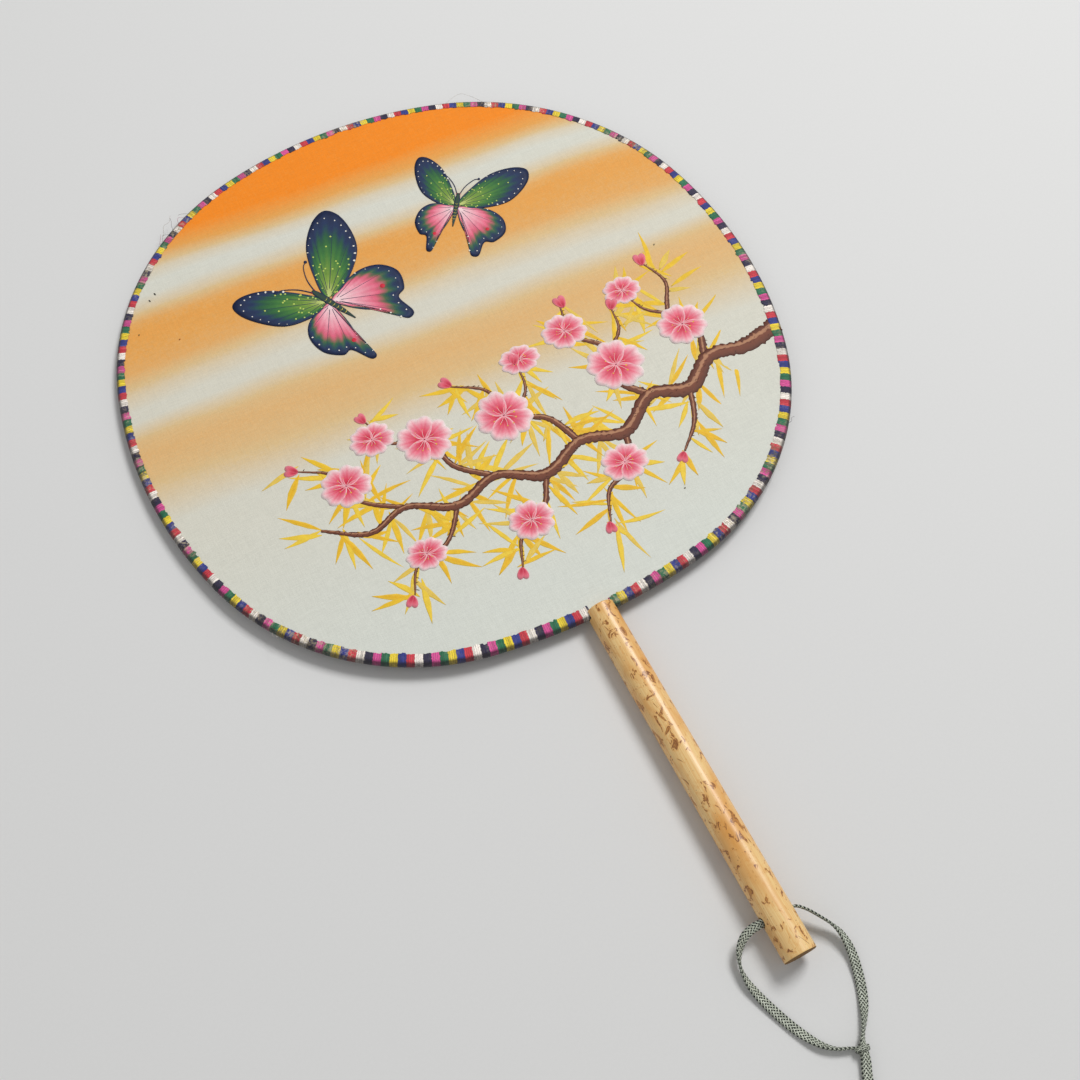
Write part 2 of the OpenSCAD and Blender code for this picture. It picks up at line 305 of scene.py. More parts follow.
class FanSettings(PropertyGroup):
    hoop: PointerProperty(type=HoopSizes)
    handle: PointerProperty(type=HandleSizes)
    tape: PointerProperty(type=TapeLooks)
    silk: PointerProperty(type=SilkLooks)
    cord: PointerProperty(type=CordLooks)
    stage: PointerProperty(type=StageLooks)


def settings():
    return bpy.context.scene.fan


def lay_down(points):
    """Points of the flat fan, laid on its back so that its crown and the handle's top touch the floor"""
    h, g = settings().hoop, settings().handle
    span, half = h.up - g.top + g.rounding, g.top_diameter / 2
    tip = math.atan2(half, span) - math.asin(h.edge_radius / math.hypot(span, half))
    lift = h.up * math.sin(tip) + h.edge_radius
    far = h.up * math.cos(tip) + h.edge_radius
    butt_inset = g.butt_diameter / 2 - g.rounding
    near = (g.butt + g.rounding) * math.cos(tip) - butt_inset * math.sin(tip) - g.rounding
    points = np.asarray(points, float)
    flat = np.empty_like(points)
    flat[..., 0] = points[..., 0]
    flat[..., 1] = points[..., 1] * math.cos(tip) + points[..., 2] * math.sin(tip) - (far + near) / 2
    flat[..., 2] = points[..., 2] * math.cos(tip) - points[..., 1] * math.sin(tip) + lift
    return flat


def tangent_centre(p, a, q, b):
    """The point that lies a from p and b from q, on the right of the way from p to q"""
    p, q = np.asarray(p), np.asarray(q)
    apart = np.linalg.norm(q - p)
    way = (q - p) / apart
    run = (a * a - b * b + apart * apart) / (2 * apart)
    return p + run * way + math.sqrt(a * a - run * run) * np.array([way[1], -way[0]])


def heading(way):
    return math.atan2(way[1], way[0])


def unit(vectors):
    return vectors / np.linalg.norm(vectors, axis=-1, keepdims=True)


def tangents(points):
    """The direction of a line at each of its points"""
    return unit(np.gradient(points, axis=0))


def circle(turn):
    """Points of the unit circle at these angles"""
    return np.stack([np.cos(turn), np.sin(turn)], -1)


def distances(points):
    """The way run along a line up to each of its points"""
    return np.concatenate([[0], np.cumsum(np.linalg.norm(np.diff(points, axis=0), axis=1))])


def read_off(wanted, places, values):
    """Rows of values that are known at some places, read off at the wanted ones"""
    return np.stack([np.interp(wanted, places, column) for column in values.T], -1)


def hoop_line(total):
    """The hoop in this many steps, from the tape's right end over the crown to its left end:
    its points in the fan's plane, the angles that look outwards there, and the distances run"""
    h = settings().hoop
    crown = np.array([0, h.up - h.crown_radius])
    side = np.array([h.width / 2 - h.side_radius, 0])
    foot = np.array([0, h.foot_radius - h.down])
    shoulder = tangent_centre(crown, h.crown_radius - h.shoulder_radius,
                              side, h.side_radius - h.shoulder_radius)
    corner = tangent_centre(side, h.side_radius - h.corner_radius, foot, h.foot_radius - h.corner_radius)
    turns = [
        -math.acos(h.tape_half_gap / h.foot_radius),
        heading(corner - foot),
        heading(corner - side),
        heading(shoulder - side),
        heading(shoulder - crown),
        math.pi / 2,
    ]
    centres = [foot, corner, side, shoulder, crown]
    radii = [h.foot_radius, h.corner_radius, h.side_radius, h.shoulder_radius, h.crown_radius]
    steps_an_arc = 400
    ways, places = [], []
    for centre, radius, start, end in zip(centres, radii, turns, turns[1:]):
        turn = np.linspace(start, end, steps_an_arc)
        ways.append(turn)
        places.append(centre + radius * circle(turn))
    way, place = np.concatenate(ways), np.concatenate(places)
    way = np.concatenate([way, math.pi - way[::-1]])
    place = np.concatenate([place, place[::-1] * [-1, 1]])
    run = distances(place)
    along = np.linspace(0, run[-1], total + 1)
    return read_off(along, run, place), np.interp(along, run, way), along


def rings_round(points, ways, sections):
    """Sections (outwards, up) set at each station of the hoop, as laid-down points"""
    flat = points[:, None, :] + sections[..., :1] * circle(ways)[:, None, :]
    return lay_down(np.concatenate([flat, sections[..., 1:]], -1))


def smooth_route(points, spacing, extra=None):
    """A smooth line through the points, evenly spaced; extra values a point, such as a roll, go along"""
    points = np.asarray(points, float)
    size = points.shape[1]
    data = points if extra is None else np.concatenate([points, np.asarray(extra, float)], 1)
    knots = np.concatenate([[0], np.cumsum(np.sqrt(np.linalg.norm(np.diff(points, axis=0), axis=1)))])
    steps_a_span = 40
    fine = []
    for i in range(len(data) - 1):
        before, after = max(i - 1, 0), min(i + 2, len(data) - 1)
        span = knots[i + 1] - knots[i]
        lean_in = (data[i + 1] - data[before]) / (knots[i + 1] - knots[before]) * span
        lean_out = (data[after] - data[i]) / (knots[after] - knots[i]) * span
        t = np.linspace(0, 1, steps_a_span, endpoint=i == len(data) - 2)[:, None]
        fine.append(data[i] * (2 * t**3 - 3 * t**2 + 1) + lean_in * (t**3 - 2 * t**2 + t)
                    + data[i + 1] * (3 * t**2 - 2 * t**3) + lean_out * (t**3 - t**2))
    fine = np.concatenate(fine)
    run = distances(fine[:, :size])
    along = np.linspace(0, run[-1], max(2, round(run[-1] / spacing)) + 1)
    even = read_off(along, run, fine)
    return even[:, :size], even[:, size:], along


def side_and_up(points, roll=0.0):
    """At each point of a line: its sideways and upward directions, turned about the line by roll"""
    way = tangents(points)
    side = unit(np.cross(way, [0, 0, 1]))
    up = np.cross(side, way)
    roll = np.broadcast_to(roll, len(points))[:, None]
    return side * np.cos(roll) + up * np.sin(roll), up * np.cos(roll) - side * np.sin(roll)


def tube(line, side, up, half_side, half_up, corners):
    """Rings of an oval tube along a line, of these half widths along its two directions"""
    turn = np.linspace(0, math.tau, corners, endpoint=False)[:, None]
    return (line[:, None] + side[..., None, :] * (np.cos(turn) * half_side)
            + up[..., None, :] * (np.sin(turn) * half_up))


def stadium(share, half_straight, radius):
    """A place on a stadium's outline and the angle that looks outwards there, for a share of its way round"""
    straight, bend = 2 * half_straight, math.pi * radius
    run = np.mod(share, 1.0) * (2 * straight + 2 * bend)
    parts = [run < straight, run < straight + bend, run < 2 * straight + bend]
    turn = np.select(parts, [math.pi / 2, math.pi / 2 - (run - straight) / radius, -math.pi / 2],
                     -math.pi / 2 - (run - 2 * straight - bend) / radius)
    middle = np.select(parts, [run - half_straight, half_straight, half_straight - (run - straight - bend)],
                       -half_straight)
    return middle + radius * np.cos(turn), radius * np.sin(turn), turn


class Skins:
    """Collects closed skins over rings of points into one mesh with a UV map"""

    def __init__(self):
        self.points, self.faces, self.uvs, self.total = [], [], [], 0

    def add(self, rings, u, v):
        """rings is rings x corners x 3; u has one value a ring, v one a corner and one more"""
        rings, u, v = np.asarray(rings), np.asarray(u, float), np.asarray(v, float)
        number, corners = rings.shape[:2]
        here = np.arange(corners)
        after = (here + 1) % corners
        low = np.arange(number - 1)[:, None] * corners + self.total
        high = low + corners
        quads = np.stack([low + here, high + here, high + after, low + after], -1)
        shape = (number - 1, corners)
        low_u, high_u = np.broadcast_to(u[:-1, None], shape), np.broadcast_to(u[1:, None], shape)
        low_v, high_v = np.broadcast_to(v[:-1], shape), np.broadcast_to(v[1:], shape)
        uvs = np.stack([low_u, low_v, high_u, low_v, high_u, high_v, low_u, high_v], -1)
        self.points.append(rings.reshape(-1, 3))
        self.faces += quads.reshape(-1, 4).tolist()
        self.uvs.append(uvs.reshape(-1, 2))
        for ring, order in ((0, 1), (number - 1, -1)):
            first = self.total + ring * corners
            self.faces.append([first + c for c in range(corners)][::order])
            self.uvs.append(np.stack([np.full(corners, u[ring]), v[:corners][::order]], -1))
        self.total += number * corners
        return self

    def piece(self, name):
        """A new object with all skins, smooth and with outward normals"""
        mesh = bpy.data.meshes.new(name)
        mesh.from_pydata(np.concatenate(self.points).tolist(), [], self.faces)
        layer = mesh.uv_layers.new(name="UVMap")
        layer.data.foreach_set("uv", np.concatenate(self.uvs).astype(np.float32).ravel())
        mesh.polygons.foreach_set("use_smooth", [True] * len(mesh.polygons))
        shell = bmesh.new()
        shell.from_mesh(mesh)
        bmesh.ops.recalc_face_normals(shell, faces=shell.faces)
        shell.to_mesh(mesh)
        shell.free()
        piece = bpy.data.objects.new(name, mesh)
        bpy.context.scene.collection.objects.link(piece)
        return piece


def settle(piece, finish, slot, *nodes):
    """Gives a piece its material, its body and its record slot; it stands for the CAD nodes named"""
    piece.data.materials.clear()
    piece.data.materials.append(finish)
    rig.ride(piece, BODY)
    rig.slot(piece, slot)
    if nodes:
        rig.replaces(piece, *nodes)
    return piece


def opaque(rgb):
    return (*rgb, 1.0)


def add_node(tree, kind, inputs, output=0, stops=None, feeds=None, **values):
    """Adds a shader node with its settings and links, and returns one of its outputs. inputs maps its sockets
    to plain values or other nodes' outputs. stops are a ramp's places with their colours or greys, and then
    the settings are the ramp's. feeds names the shader's own socket that the output goes to"""
    node = tree.nodes.new("ShaderNode" + kind)
    for key, value in values.items():
        setattr(node if stops is None else node.color_ramp, key, value)
    for key, value in inputs.items():
        if isinstance(value, bpy.types.NodeSocket):
            tree.links.new(value, node.inputs[key])
        else:
            node.inputs[key].default_value = value
    if stops is not None:
        elements = node.color_ramp.elements
        while len(elements) < len(stops):
            elements.new(1.0)
        for element, (place, shade) in zip(elements, stops):
            element.position = place
            element.color = opaque(np.broadcast_to(shade, 3))
    if feeds is not None:
        tree.links.new(node.outputs[output], tree.nodes["Principled BSDF"].inputs[feeds])
    return node.outputs[output]


def new_finish(name, plain):
    """A material whose one Principled shader has these plain values; returns it and add_node for its tree"""
    finish = bpy.data.materials.new(name)
    finish.use_nodes = True
    for socket, value in plain.items():
        finish.node_tree.nodes["Principled BSDF"].inputs[socket].default_value = value
    return finish, partial(add_node, finish.node_tree)


# Shares of a braid's thickness: one yarn, and its rise where it lies on another; and how much of the room
# round the braid the yarns fill
YARN_THICK = 0.26
YARN_RISE = 0.12
YARN_FILL = 0.76


def braid(name, rows, width, lie=None):
    """A flat braid along rows of x, y, z, turn of the flat side and squeeze of the width: its yarns wind both
    ways round it, over and under each other. lie is the direction its width keeps, if not the turned one"""
    looks = settings().cord
    yarns, lead, thickness = looks.yarns, looks.lead, looks.thickness
    steps_a_crossing = 4
    extra = np.stack([np.radians(rows[:, 3]), rows[:, 4]], 1)
    points, extra, along = smooth_route(rows[:, :3] / MILLI, lead / yarns / steps_a_crossing, extra)
    roll, squeeze = extra.T
    side, up = side_and_up(points, roll)
    if lie is not None:
        way = tangents(points)
        side = unit(lie - way * (way @ lie)[:, None])
        up = np.cross(side, way)
    yarn_thick = YARN_THICK * thickness
    weave_high = YARN_RISE * thickness
    radius = thickness / 2 - yarn_thick / 2 - weave_high
    half_straight = width / 2 - thickness / 2
    around = 4 * half_straight + math.tau * radius
    yarn_wide = YARN_FILL * around / yarns * math.cos(math.atan(around / lead))
    corners = 6
    skins = Skins()
    for hand in (1, -1):
        for k in range(yarns):
            share = hand * along / lead + k / yarns
            x, y, turn = stadium(share, half_straight, radius)
            # Over two and under two: yarns of one hand lie on top in lengthwise columns, a herringbone
            lift = hand * weave_high * np.cos(math.pi * yarns * share)
            x = (x + lift * np.cos(turn)) * squeeze
            y = y + lift * np.sin(turn)
            middle = points + side * x[:, None] + up * y[:, None]
            way = tangents(middle)
            out = side * np.cos(turn)[:, None] + up * np.sin(turn)[:, None]
            flat = unit(np.cross(way, out))
            rings = tube(middle, flat, np.cross(flat, way), yarn_wide / 2, yarn_thick / 2, corners)
            skins.add(rings, along + k * lead, np.linspace(0, 1, corners + 1))
    return skins.piece(name), points, along[-1]


def braid_finish():
    """Spun viscose braid: pale satin yarns of fine filaments, whose gaps stay dark"""
    looks = settings().cord
    finish, add = new_finish("viscose_braid", {"Roughness": 0.4, "Sheen Weight": 0.15})
    yarn = add("TexCoord", {}, "UV")
    # Filaments about 1 mm long before they dive, and a mottle of 3 mm
    filament = add("Mapping", {"Vector": yarn, "Scale": (900.0, 9.0, 1.0)})
    filament = add("TexNoise", {"Vector": filament, "Scale": 1.0, "Detail": 3.0})
    mottle = add("TexNoise", {"Vector": add("TexCoord", {}, "Object"), "Scale": 300.0})
    mottle = add("Math", {0: mottle, 1: 0.9}, operation="MULTIPLY")
    mottle = add("Math", {0: filament, 1: mottle}, operation="ADD")
    # Only the crown of a yarn is pale: a quarter of the way round it
    around = add("SeparateXYZ", {0: yarn}, 1)
    crown = add("ValToRGB", {0: around},
                stops=[(0.05, 0.0), (0.17, 0.35), (0.25, 1.0), (0.33, 0.35), (0.45, 0.0)])
    share = add("Math", {0: crown, 1: mottle}, operation="MULTIPLY")
    add("Mix", {0: share, 6: opaque(looks.deep), 7: opaque(looks.pale)}, 2, feeds="Base Color",
        data_type="RGBA")
    add("Bump", {"Height": filament, "Strength": 0.5, "Distance": 0.00005}, feeds="Normal")
    return finish


class FAN_OT_stage(Operator):
    """Camera at the photographed angle, pale floor and soft studio light"""
    bl_idname = "fan.stage"
    bl_label = "Stage"

    CAMERA_AT = (-0.13049, -0.22282, 0.51134)
    CAMERA_FORWARD = (0.22128497, 0.36390696, -0.90476775)
    CAMERA_UP = (0.40470385, 0.8098389, 0.42470666)
    SENSOR = 36.0
    CLIP = (0.02, 20.0)
    FLOOR_SIDE = 6.0
    # The floor's darker grains, as a share of its colour
    DARKER = 0.97
    # Lamps on the side from which the photograph's light comes: name, place, side of the square
    LAMPS = (("key", (0.95, 0.5, 1.6), 0.66), ("fill", (-1.1, -0.2, 0.9), 1.4))

    def execute(self, context):
        looks = settings().stage
        scene = context.scene
        camera = bpy.data.cameras.new("camera")
        camera.lens = looks.lens
        camera.sensor_width = self.SENSOR
        camera.clip_start, camera.clip_end = self.CLIP
        viewer = bpy.data.objects.new("camera", camera)
        scene.collection.objects.link(viewer)
        forward, up = Vector(self.CAMERA_FORWARD), Vector(self.CAMERA_UP)
        turn = Matrix((forward.cross(up), up, -forward)).transposed()
        viewer.matrix_world = Matrix.Translation(self.CAMERA_AT) @ turn.to_4x4()
        scene.camera = viewer
        scene.view_settings.view_transform = "Standard"

        bpy.ops.mesh.primitive_plane_add(size=self.FLOOR_SIDE, location=(0, 0, 0))
        floor = context.object
        floor.name = "floor"
        # Painted board: matt, with a faint grain of 1 mm
        finish, add = new_finish("painted_board", {"Roughness": 0.75, "Specular IOR Level": 0.2})
        grain = add("TexNoise", {"Vector": add("TexCoord", {}, "Object"), "Scale": 900.0})
        darker = [self.DARKER * c for c in looks.floor]
        add("Mix", {0: grain, 6: opaque(darker), 7: opaque(looks.floor)}, 2, feeds="Base Color",
            data_type="RGBA")
        floor.data.materials.append(finish)
        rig.stage(floor)

        for (name, place, side), power in zip(self.LAMPS, (looks.key_power, looks.fill_power)):
            lamp = bpy.data.lights.new(name, "AREA")
            lamp.size = side
            lamp.energy = power
            holder = bpy.data.objects.new(name, lamp)
            holder.location = place
            holder.rotation_mode = "QUATERNION"
            holder.rotation_quaternion = Vector(place).to_track_quat("Z", "Y")
            scene.collection.objects.link(holder)
        world = bpy.data.worlds.new("studio")
        world.use_nodes = True
        background = world.node_tree.nodes["Background"]
        background.inputs["Color"].default_value = (1, 1, 1, 1)
        background.inputs["Strength"].default_value = looks.sky
        scene.world = world
        return {"FINISHED"}


class FAN_OT_cord(Operator):
    """The braided cord: both halves of it, from the hole in the handle past the knot to the tassel"""
    bl_idname = "fan.cord"
    bl_label = "Cord"

    # Routes in millimetres: x, y, z, turn of the flat side in degrees, squeeze of the width
    LEFT = (
        (0, -178.2, 7.3, 60, 0.9), (-4, -178.2, 7.3, 50, 0.95), (-7, -178.2, 7.3, 35, 1),
        (-10, -178.3, 6.8, 25, 1), (-13.5, -179.5, 5.7, 30, 1), (-16.6, -182.3, 4.4, 50, 1),
        (-18.5, -186.3, 3.1, 75, 0.95), (-18.9, -191, 2.1, 55, 1), (-17.9, -196.8, 1.4, 22, 1),
        (-15.3, -204.9, 1.0, 5, 1.05), (-11.9, -213, 1.0, 12, 1.05), (-7.9, -219.6, 1.4, 42, 0.95),
        (-3.8, -223.4, 1.7, 72, 0.85), (0, -225.2, 1.8, 82, 0.8), (2.6, -226.7, 1.7, 76, 0.7),
        (3.2, -229.2, 1.6, 30, 0.8), (2.1, -232.1, 1.5, 10, 0.95), (0.6, -235.6, 1.0, 4, 1),
        (-1.9, -242, 0.9, 2, 1), (-4.1, -249, 1.0, 2, 1), (-5.6, -255.5, 2.0, 4, 1),
        (-6.4, -260.3, 3.6, 4, 0.8),
    )
    RIGHT = (
        (0, -178.2, 7.3, 60, 0.9), (4, -178.2, 7.3, 84, 0.9), (7, -178.4, 7.3, 80, 0.95),
        (10, -181, 6.8, 76, 1), (13, -185, 5.8, 75, 1), (15.5, -188.8, 4.6, 71, 1), (17.1, -193, 3.5, 45, 1),
        (17.4, -198.9, 2.2, 16, 1), (16.2, -205, 1.3, 5, 1.05), (14.2, -211, 1.0, 2, 1.05),
        (12, -215.7, 1.1, 15, 1), (9.5, -219.7, 1.4, 45, 0.85), (6.9, -223.1, 1.8, 66, 0.75),
        (4.9, -225.7, 2.6, 40, 0.7), (3.9, -228.4, 2.8, 20, 0.8), (2.7, -231.4, 2.4, 8, 0.95),
        (0.6, -235.6, 2.2, 4, 1), (-1.4, -241.6, 2.1, 2, 1), (-3.6, -248.6, 2.2, 2, 1),
        (-5.3, -255.4, 3.2, 4, 1), (-6.2, -260.3, 4.6, 4, 0.8),
    )
    # The turn of the half knot: its middle, the way the cord runs through it, its half width and height, how
    # far it climbs in one turn, and its braid's width as a share of the cord's
    KNOT_AT = (3.8, -227.3, 2.32)
    KNOT_WAY = (-0.42, -0.907)
    KNOT_SIZE = (2.0, 1.75)
    KNOT_SLANT = 1.5
    KNOT_WIDTH = 0.6

    def knot_route(self):
        """One slanting turn round both strands, whose ends meet below them"""
        turn = np.radians(np.linspace(-110, 290, 25))
        way = np.array(self.KNOT_WAY)
        across = np.array([-way[1], way[0]])
        half, high = self.KNOT_SIZE
        slide = self.KNOT_SLANT * (turn / math.tau - 0.25)
        flat = np.array(self.KNOT_AT[:2]) + half * np.cos(turn)[:, None] * across + slide[:, None] * way
        return np.stack([*flat.T, self.KNOT_AT[2] + high * np.sin(turn), 0 * turn, 0 * turn + 1], -1)

    def half(self, name, rows, finish):
        """One half of the cord; where it is turned it stands on its edge, so its middle lies higher"""
        looks = settings().cord
        rows = np.array(rows, float)
        turn = np.radians(rows[:, 3])
        rest = looks.width / 2 * rows[:, 4] * np.abs(np.sin(turn)) + looks.thickness / 2 * np.cos(turn)
        rows[:, 2] = np.maximum(rows[:, 2], rest * MILLI)
        piece, line, long = braid(name, rows, looks.width)
        return settle(piece, finish, "braid", "cord_loop", "cord_tail"), line, long

    def execute(self, context):
        looks = settings().cord
        finish = braid_finish()
        left = self.half("cord_left", self.LEFT, finish)
        right = self.half("cord_right", self.RIGHT, finish)
        knot_lie = np.array([*self.KNOT_WAY, 0])
        turn = braid("knot_turn", self.knot_route(), looks.width * self.KNOT_WIDTH, knot_lie)[0]
        settle(turn, finish, "braid", "cord_knot")
        # Both ends of the cord are tied off inside the tassel's head, whose pieces go with the left half
        tassel = [bpy.data.objects[name] for name in ("tassel_knob", "tassel_lashing", "tassel_strands")]
        for (piece, line, long), end, others in ((left, "fitting", [turn, *tassel]), (right, "knot", [])):
            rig.cord(piece, exit=tuple(line[0]), length=long, diameter=looks.width, far_end=end,
                    stiffness="limp", lay="loose", path=line[::3], with_pieces=others)
        return {"FINISHED"}


class FAN_OT_tape(Operator):
    """The striped woven tape folded over the edge, with its cross threads"""
    bl_idname = "fan.tape"
    bl_label = "Edge tape"

    # How far the front strip reaches over the silk, in millimetres, by the share of the way round
    REACH = ((0, 2.5), (0.1, 2.6), (0.2, 2.7), (0.27, 2.4), (0.33, 1.9), (0.42, 1.7), (0.5, 1.6), (0.65, 1.7),
             (0.72, 1.4), (0.85, 1.5), (0.9, 2.2), (0.94, 2.7), (1, 2.6))
    # Places where the tape is rubbed bare: middle and half length, as shares of the way round
    RUBBED = ((0.112, 0.02), (0.35, 0.006), (0.601, 0.012), (0.745, 0.02), (0.792, 0.014), (0.853, 0.018))
    # Loose fibres: stripe they come from, share of the way round where each leaves the tape and where it
    # ends, and its reach outwards and upwards in millimetres at a few even steps between them
    FIBRES = (
        (4.5, 0.4335, 0.4125, ((0, 0.5), (2.4, 1.3), (3.9, 1.9), (3.1, 1.6), (1.7, 1.0), (0, 0.3))),
        (4.5, 0.6065, 0.5935, ((0, 0.4), (1.6, 1.5), (3.3, 2.4), (2.8, 2.2), (4.2, 2.6))),
        (5.5, 0.5985, 0.5945, ((0, 0.4), (1.5, 1.2), (2.2, 2.0), (3.7, 2.4))),
        (5.5, 0.6015, 0.6075, ((0, 0.4), (0.9, 0.9), (1.5, 1.2), (0.8, 0.8), (0, 0.3))),
        (6.5, 0.594, 0.589, ((0, 0.5), (1.2, 0.9), (1.6, 1.3), (0.9, 1.0), (0, 0.4))),
        (5.5, 0.586, 0.591, ((0, 0.3), (1.4, 1.4), (1.9, 2.3))),
        (6.5, 0.61, 0.6045, ((0, 0.4), (0.8, 1.2), (1.4, 1.5), (2.4, 1.6))),
        (4.5, 0.112, 0.108, ((0, 0.5), (1.1, 1.5), (2.3, 1.9))),
        (5.5, 0.135, 0.1385, ((0, 0.5), (1.0, 1.1), (0.7, 1.6), (1.7, 1.4))),
        (4.5, 0.8505, 0.8555, ((0, 0.4), (1.3, 1.0), (1.0, 1.7), (2.0, 2.2))),
    )
    # Rings drawn for one cross thread
    SAMPLES = 3
    # Lines of paste between the tape and the silk's face and back
    FACE_PASTE = 0.00003
    BACK_PASTE = 0.00002
    # How many ridge heights the valleys between the threads lie inside the solid edge
    VALLEY_DEPTH = 2.76
    # The round part of the section ends this far round the wire, in degrees
    ROUND_END = -165
    # Length of hoop in which the stripes drift forth and back
    DRIFT_WAVE = 0.68
    # Least and greatest height of a thread's ridge, as shares of the usual one
    SWELL = (0.75, 1.2)
    # How far the front edge wanders from thread to thread, and from one pair of threads to the next
    THREAD_NUDGE = 0.00009
    PAIR_NUDGE = 0.00015
    # A loose fibre starts at this share of the tape's outer radius, inside it
    FIBRE_ROOT = 0.8

    def section(self):
        """The tape's section as points outwards and upwards of the wire's middle: its front strip, the part
        round the wire, its back strip and its inside"""
        h, looks = settings().hoop, settings().tape
        outer = h.edge_radius - looks.ridge * self.VALLEY_DEPTH
        inner = h.silk_top + self.FACE_PASTE
        strip = h.silk_low - self.BACK_PASTE
        thick = outer - inner
        reach = -looks.reach
        front = [(0, inner), (0.00004, inner + thick * 0.6), (0.00016, outer), (reach / 2, outer)]
        turns = np.linspace(math.pi / 2, math.radians(self.ROUND_END), 13)
        round_part = [(outer * math.cos(t), outer * math.sin(t)) for t in turns]
        back = [(-0.0023, -0.0004), (-0.0026, strip - thick), (reach + 0.0001, strip - thick), (reach, strip)]
        inside = [(-0.0021, strip), (-0.0018, -0.0003), (0, -inner), (inner, 0), (0, inner)]
        return front, round_part, back, inside

    def execute(self, context):
        looks = settings().tape
        threads = round(hoop_line(1)[2][-1] / looks.thread)
        points, ways, along = hoop_line(threads * self.SAMPLES)
        front, round_part, back, inside = self.section()
        outline = np.array(front + round_part + back + inside)
        across = distances(np.concatenate([outline, outline[:1]]))
        across -= across[len(front)]

        # Each cross thread stands up as a ridge and swells a little more or less than its neighbours
        number = np.arange(len(along)) / self.SAMPLES
        rng = np.random.default_rng(7)
        swell = rng.uniform(*self.SWELL, threads + 2)
        phase = number % 1
        rise = np.sin(math.pi * (phase + 1 / self.SAMPLES / 2)) ** 2
        ridge = looks.ridge * rise * swell[number.astype(int)]
        # The front edge was laid by hand, so its reach wanders, and steps at every second thread
        nudge = rng.normal(0, self.THREAD_NUDGE, threads + 2)
        nudge += np.repeat(rng.normal(0, self.PAIR_NUDGE, threads // 2 + 2), 2)[:threads + 2]
        share, reaches = np.array(self.REACH).T
        wander = nudge[number.astype(int)] - np.interp(along / along[-1], share, reaches) / MILLI
        grow = np.zeros(len(outline))
        grow[1:-len(inside) - 1] = 1
        direction = unit(outline)
        direction[:len(front)] = (0, 1)
        direction[-len(inside) - 3:-len(inside)] = (0, -1)
        sections = outline[None] + direction[None] * (ridge[:, None] * grow)[..., None]
        sections[:, :3, 0] += wander[:, None]
        sections[:, 3, 0] = wander * 0.5
        rings = rings_round(points, ways, sections)
        shift = looks.drift * np.cos(math.tau * along / self.DRIFT_WAVE)
        place = (along - looks.first_stripe - shift) / looks.thread
        skins = Skins().add(rings, place, across * MILLI)
        self.loose_fibres(skins)
        settle(skins.piece("edge_tape"), self.finish(place[0], place[-1]), "woven_tape", "edge_binding")
        return {"FINISHED"}

    def loose_fibres(self, skins):
        """Single fibres that have come out of the tape and stand off its edge"""
        h, looks = settings().hoop, settings().tape
        points, ways, along = hoop_line(4000)
        corners = 4
        for stripe, start, end, steps in self.FIBRES:
            place = np.linspace(start, end, len(steps)) * along[-1]
            out, high = np.array(steps).T / MILLI
            away = (h.edge_radius * self.FIBRE_ROOT + out)[:, None] * circle(np.interp(place, along, ways))
            flat = read_off(place, along, points) + away
            line = smooth_route(lay_down(np.concatenate([flat, high[:, None]], -1)), 0.0004)[0]
            rings = tube(line, *side_and_up(line), looks.fibre / 2, looks.fibre / 2, corners)
            skins.add(rings, np.full(len(line), stripe * looks.per_stripe), np.zeros(corners + 1))

    def finish(self, first, last):
        """Mercerised cotton tape: bright cross threads in stripes of seven colours, worn to the cream base.
        first and last number the threads at its two ends"""
        looks = settings().tape
        finish, add = new_finish("cotton_tape", {"Roughness": 0.62, "Sheen Weight": 0.1})
        spot = add("TexCoord", {}, "Object")
        own = add("TexCoord", {}, "UV")
        place = add("SeparateXYZ", {0: own}, 0)
        across = add("SeparateXYZ", {0: own}, 1)
        # Every thread by its number, its edges ragged at a grain of 0.7 mm
        ragged = add("TexNoise", {"Vector": spot, "Scale": 1500.0, "Detail": 1.0})
        start = add("Math", {0: place, 1: 0.55}, operation="SUBTRACT")
        wobble = add("Math", {0: ragged, 1: 1.1, 2: start}, operation="MULTIPLY_ADD")
        thread = add("Math", {0: wobble}, operation="FLOOR")
        stripe = add("Math", {0: thread, 1: float(looks.per_stripe)}, operation="DIVIDE")
        stripe = add("Math", {0: stripe}, operation="FLOOR")
        colours = [looks.green, looks.yellow, looks.blue, looks.red, looks.white, looks.navy, looks.pink]
        total = float(len(colours))
        turn = add("Math", {0: stripe, 1: total}, operation="FLOORED_MODULO")
        turn = add("Math", {0: turn, 1: total}, operation="DIVIDE")
        turn = add("Math", {0: turn, 1: 0.5 / total}, operation="ADD")
        dyed = add("ValToRGB", {0: turn}, stops=[(k / total, shade) for k, shade in enumerate(colours)],
                   interpolation="CONSTANT")
        # Each cross thread takes the dye differently, and the gap between two threads is dark
        tint = add("TexWhiteNoise", {"W": thread}, noise_dimensions="1D")
        gap = add("Math", {0: wobble}, operation="FRACT")
        gap = add("ValToRGB", {0: gap}, stops=[(0.0, 0.42), (0.2, 1.0), (0.8, 1.0), (1.0, 0.42)])
        level = add("Math", {0: tint, 1: 0.4, 2: 0.85}, operation="MULTIPLY_ADD")
        level = add("Math", {0: level, 1: gap}, operation="MULTIPLY")
        varied = add("VectorMath", {0: dyed, 3: level}, operation="SCALE")
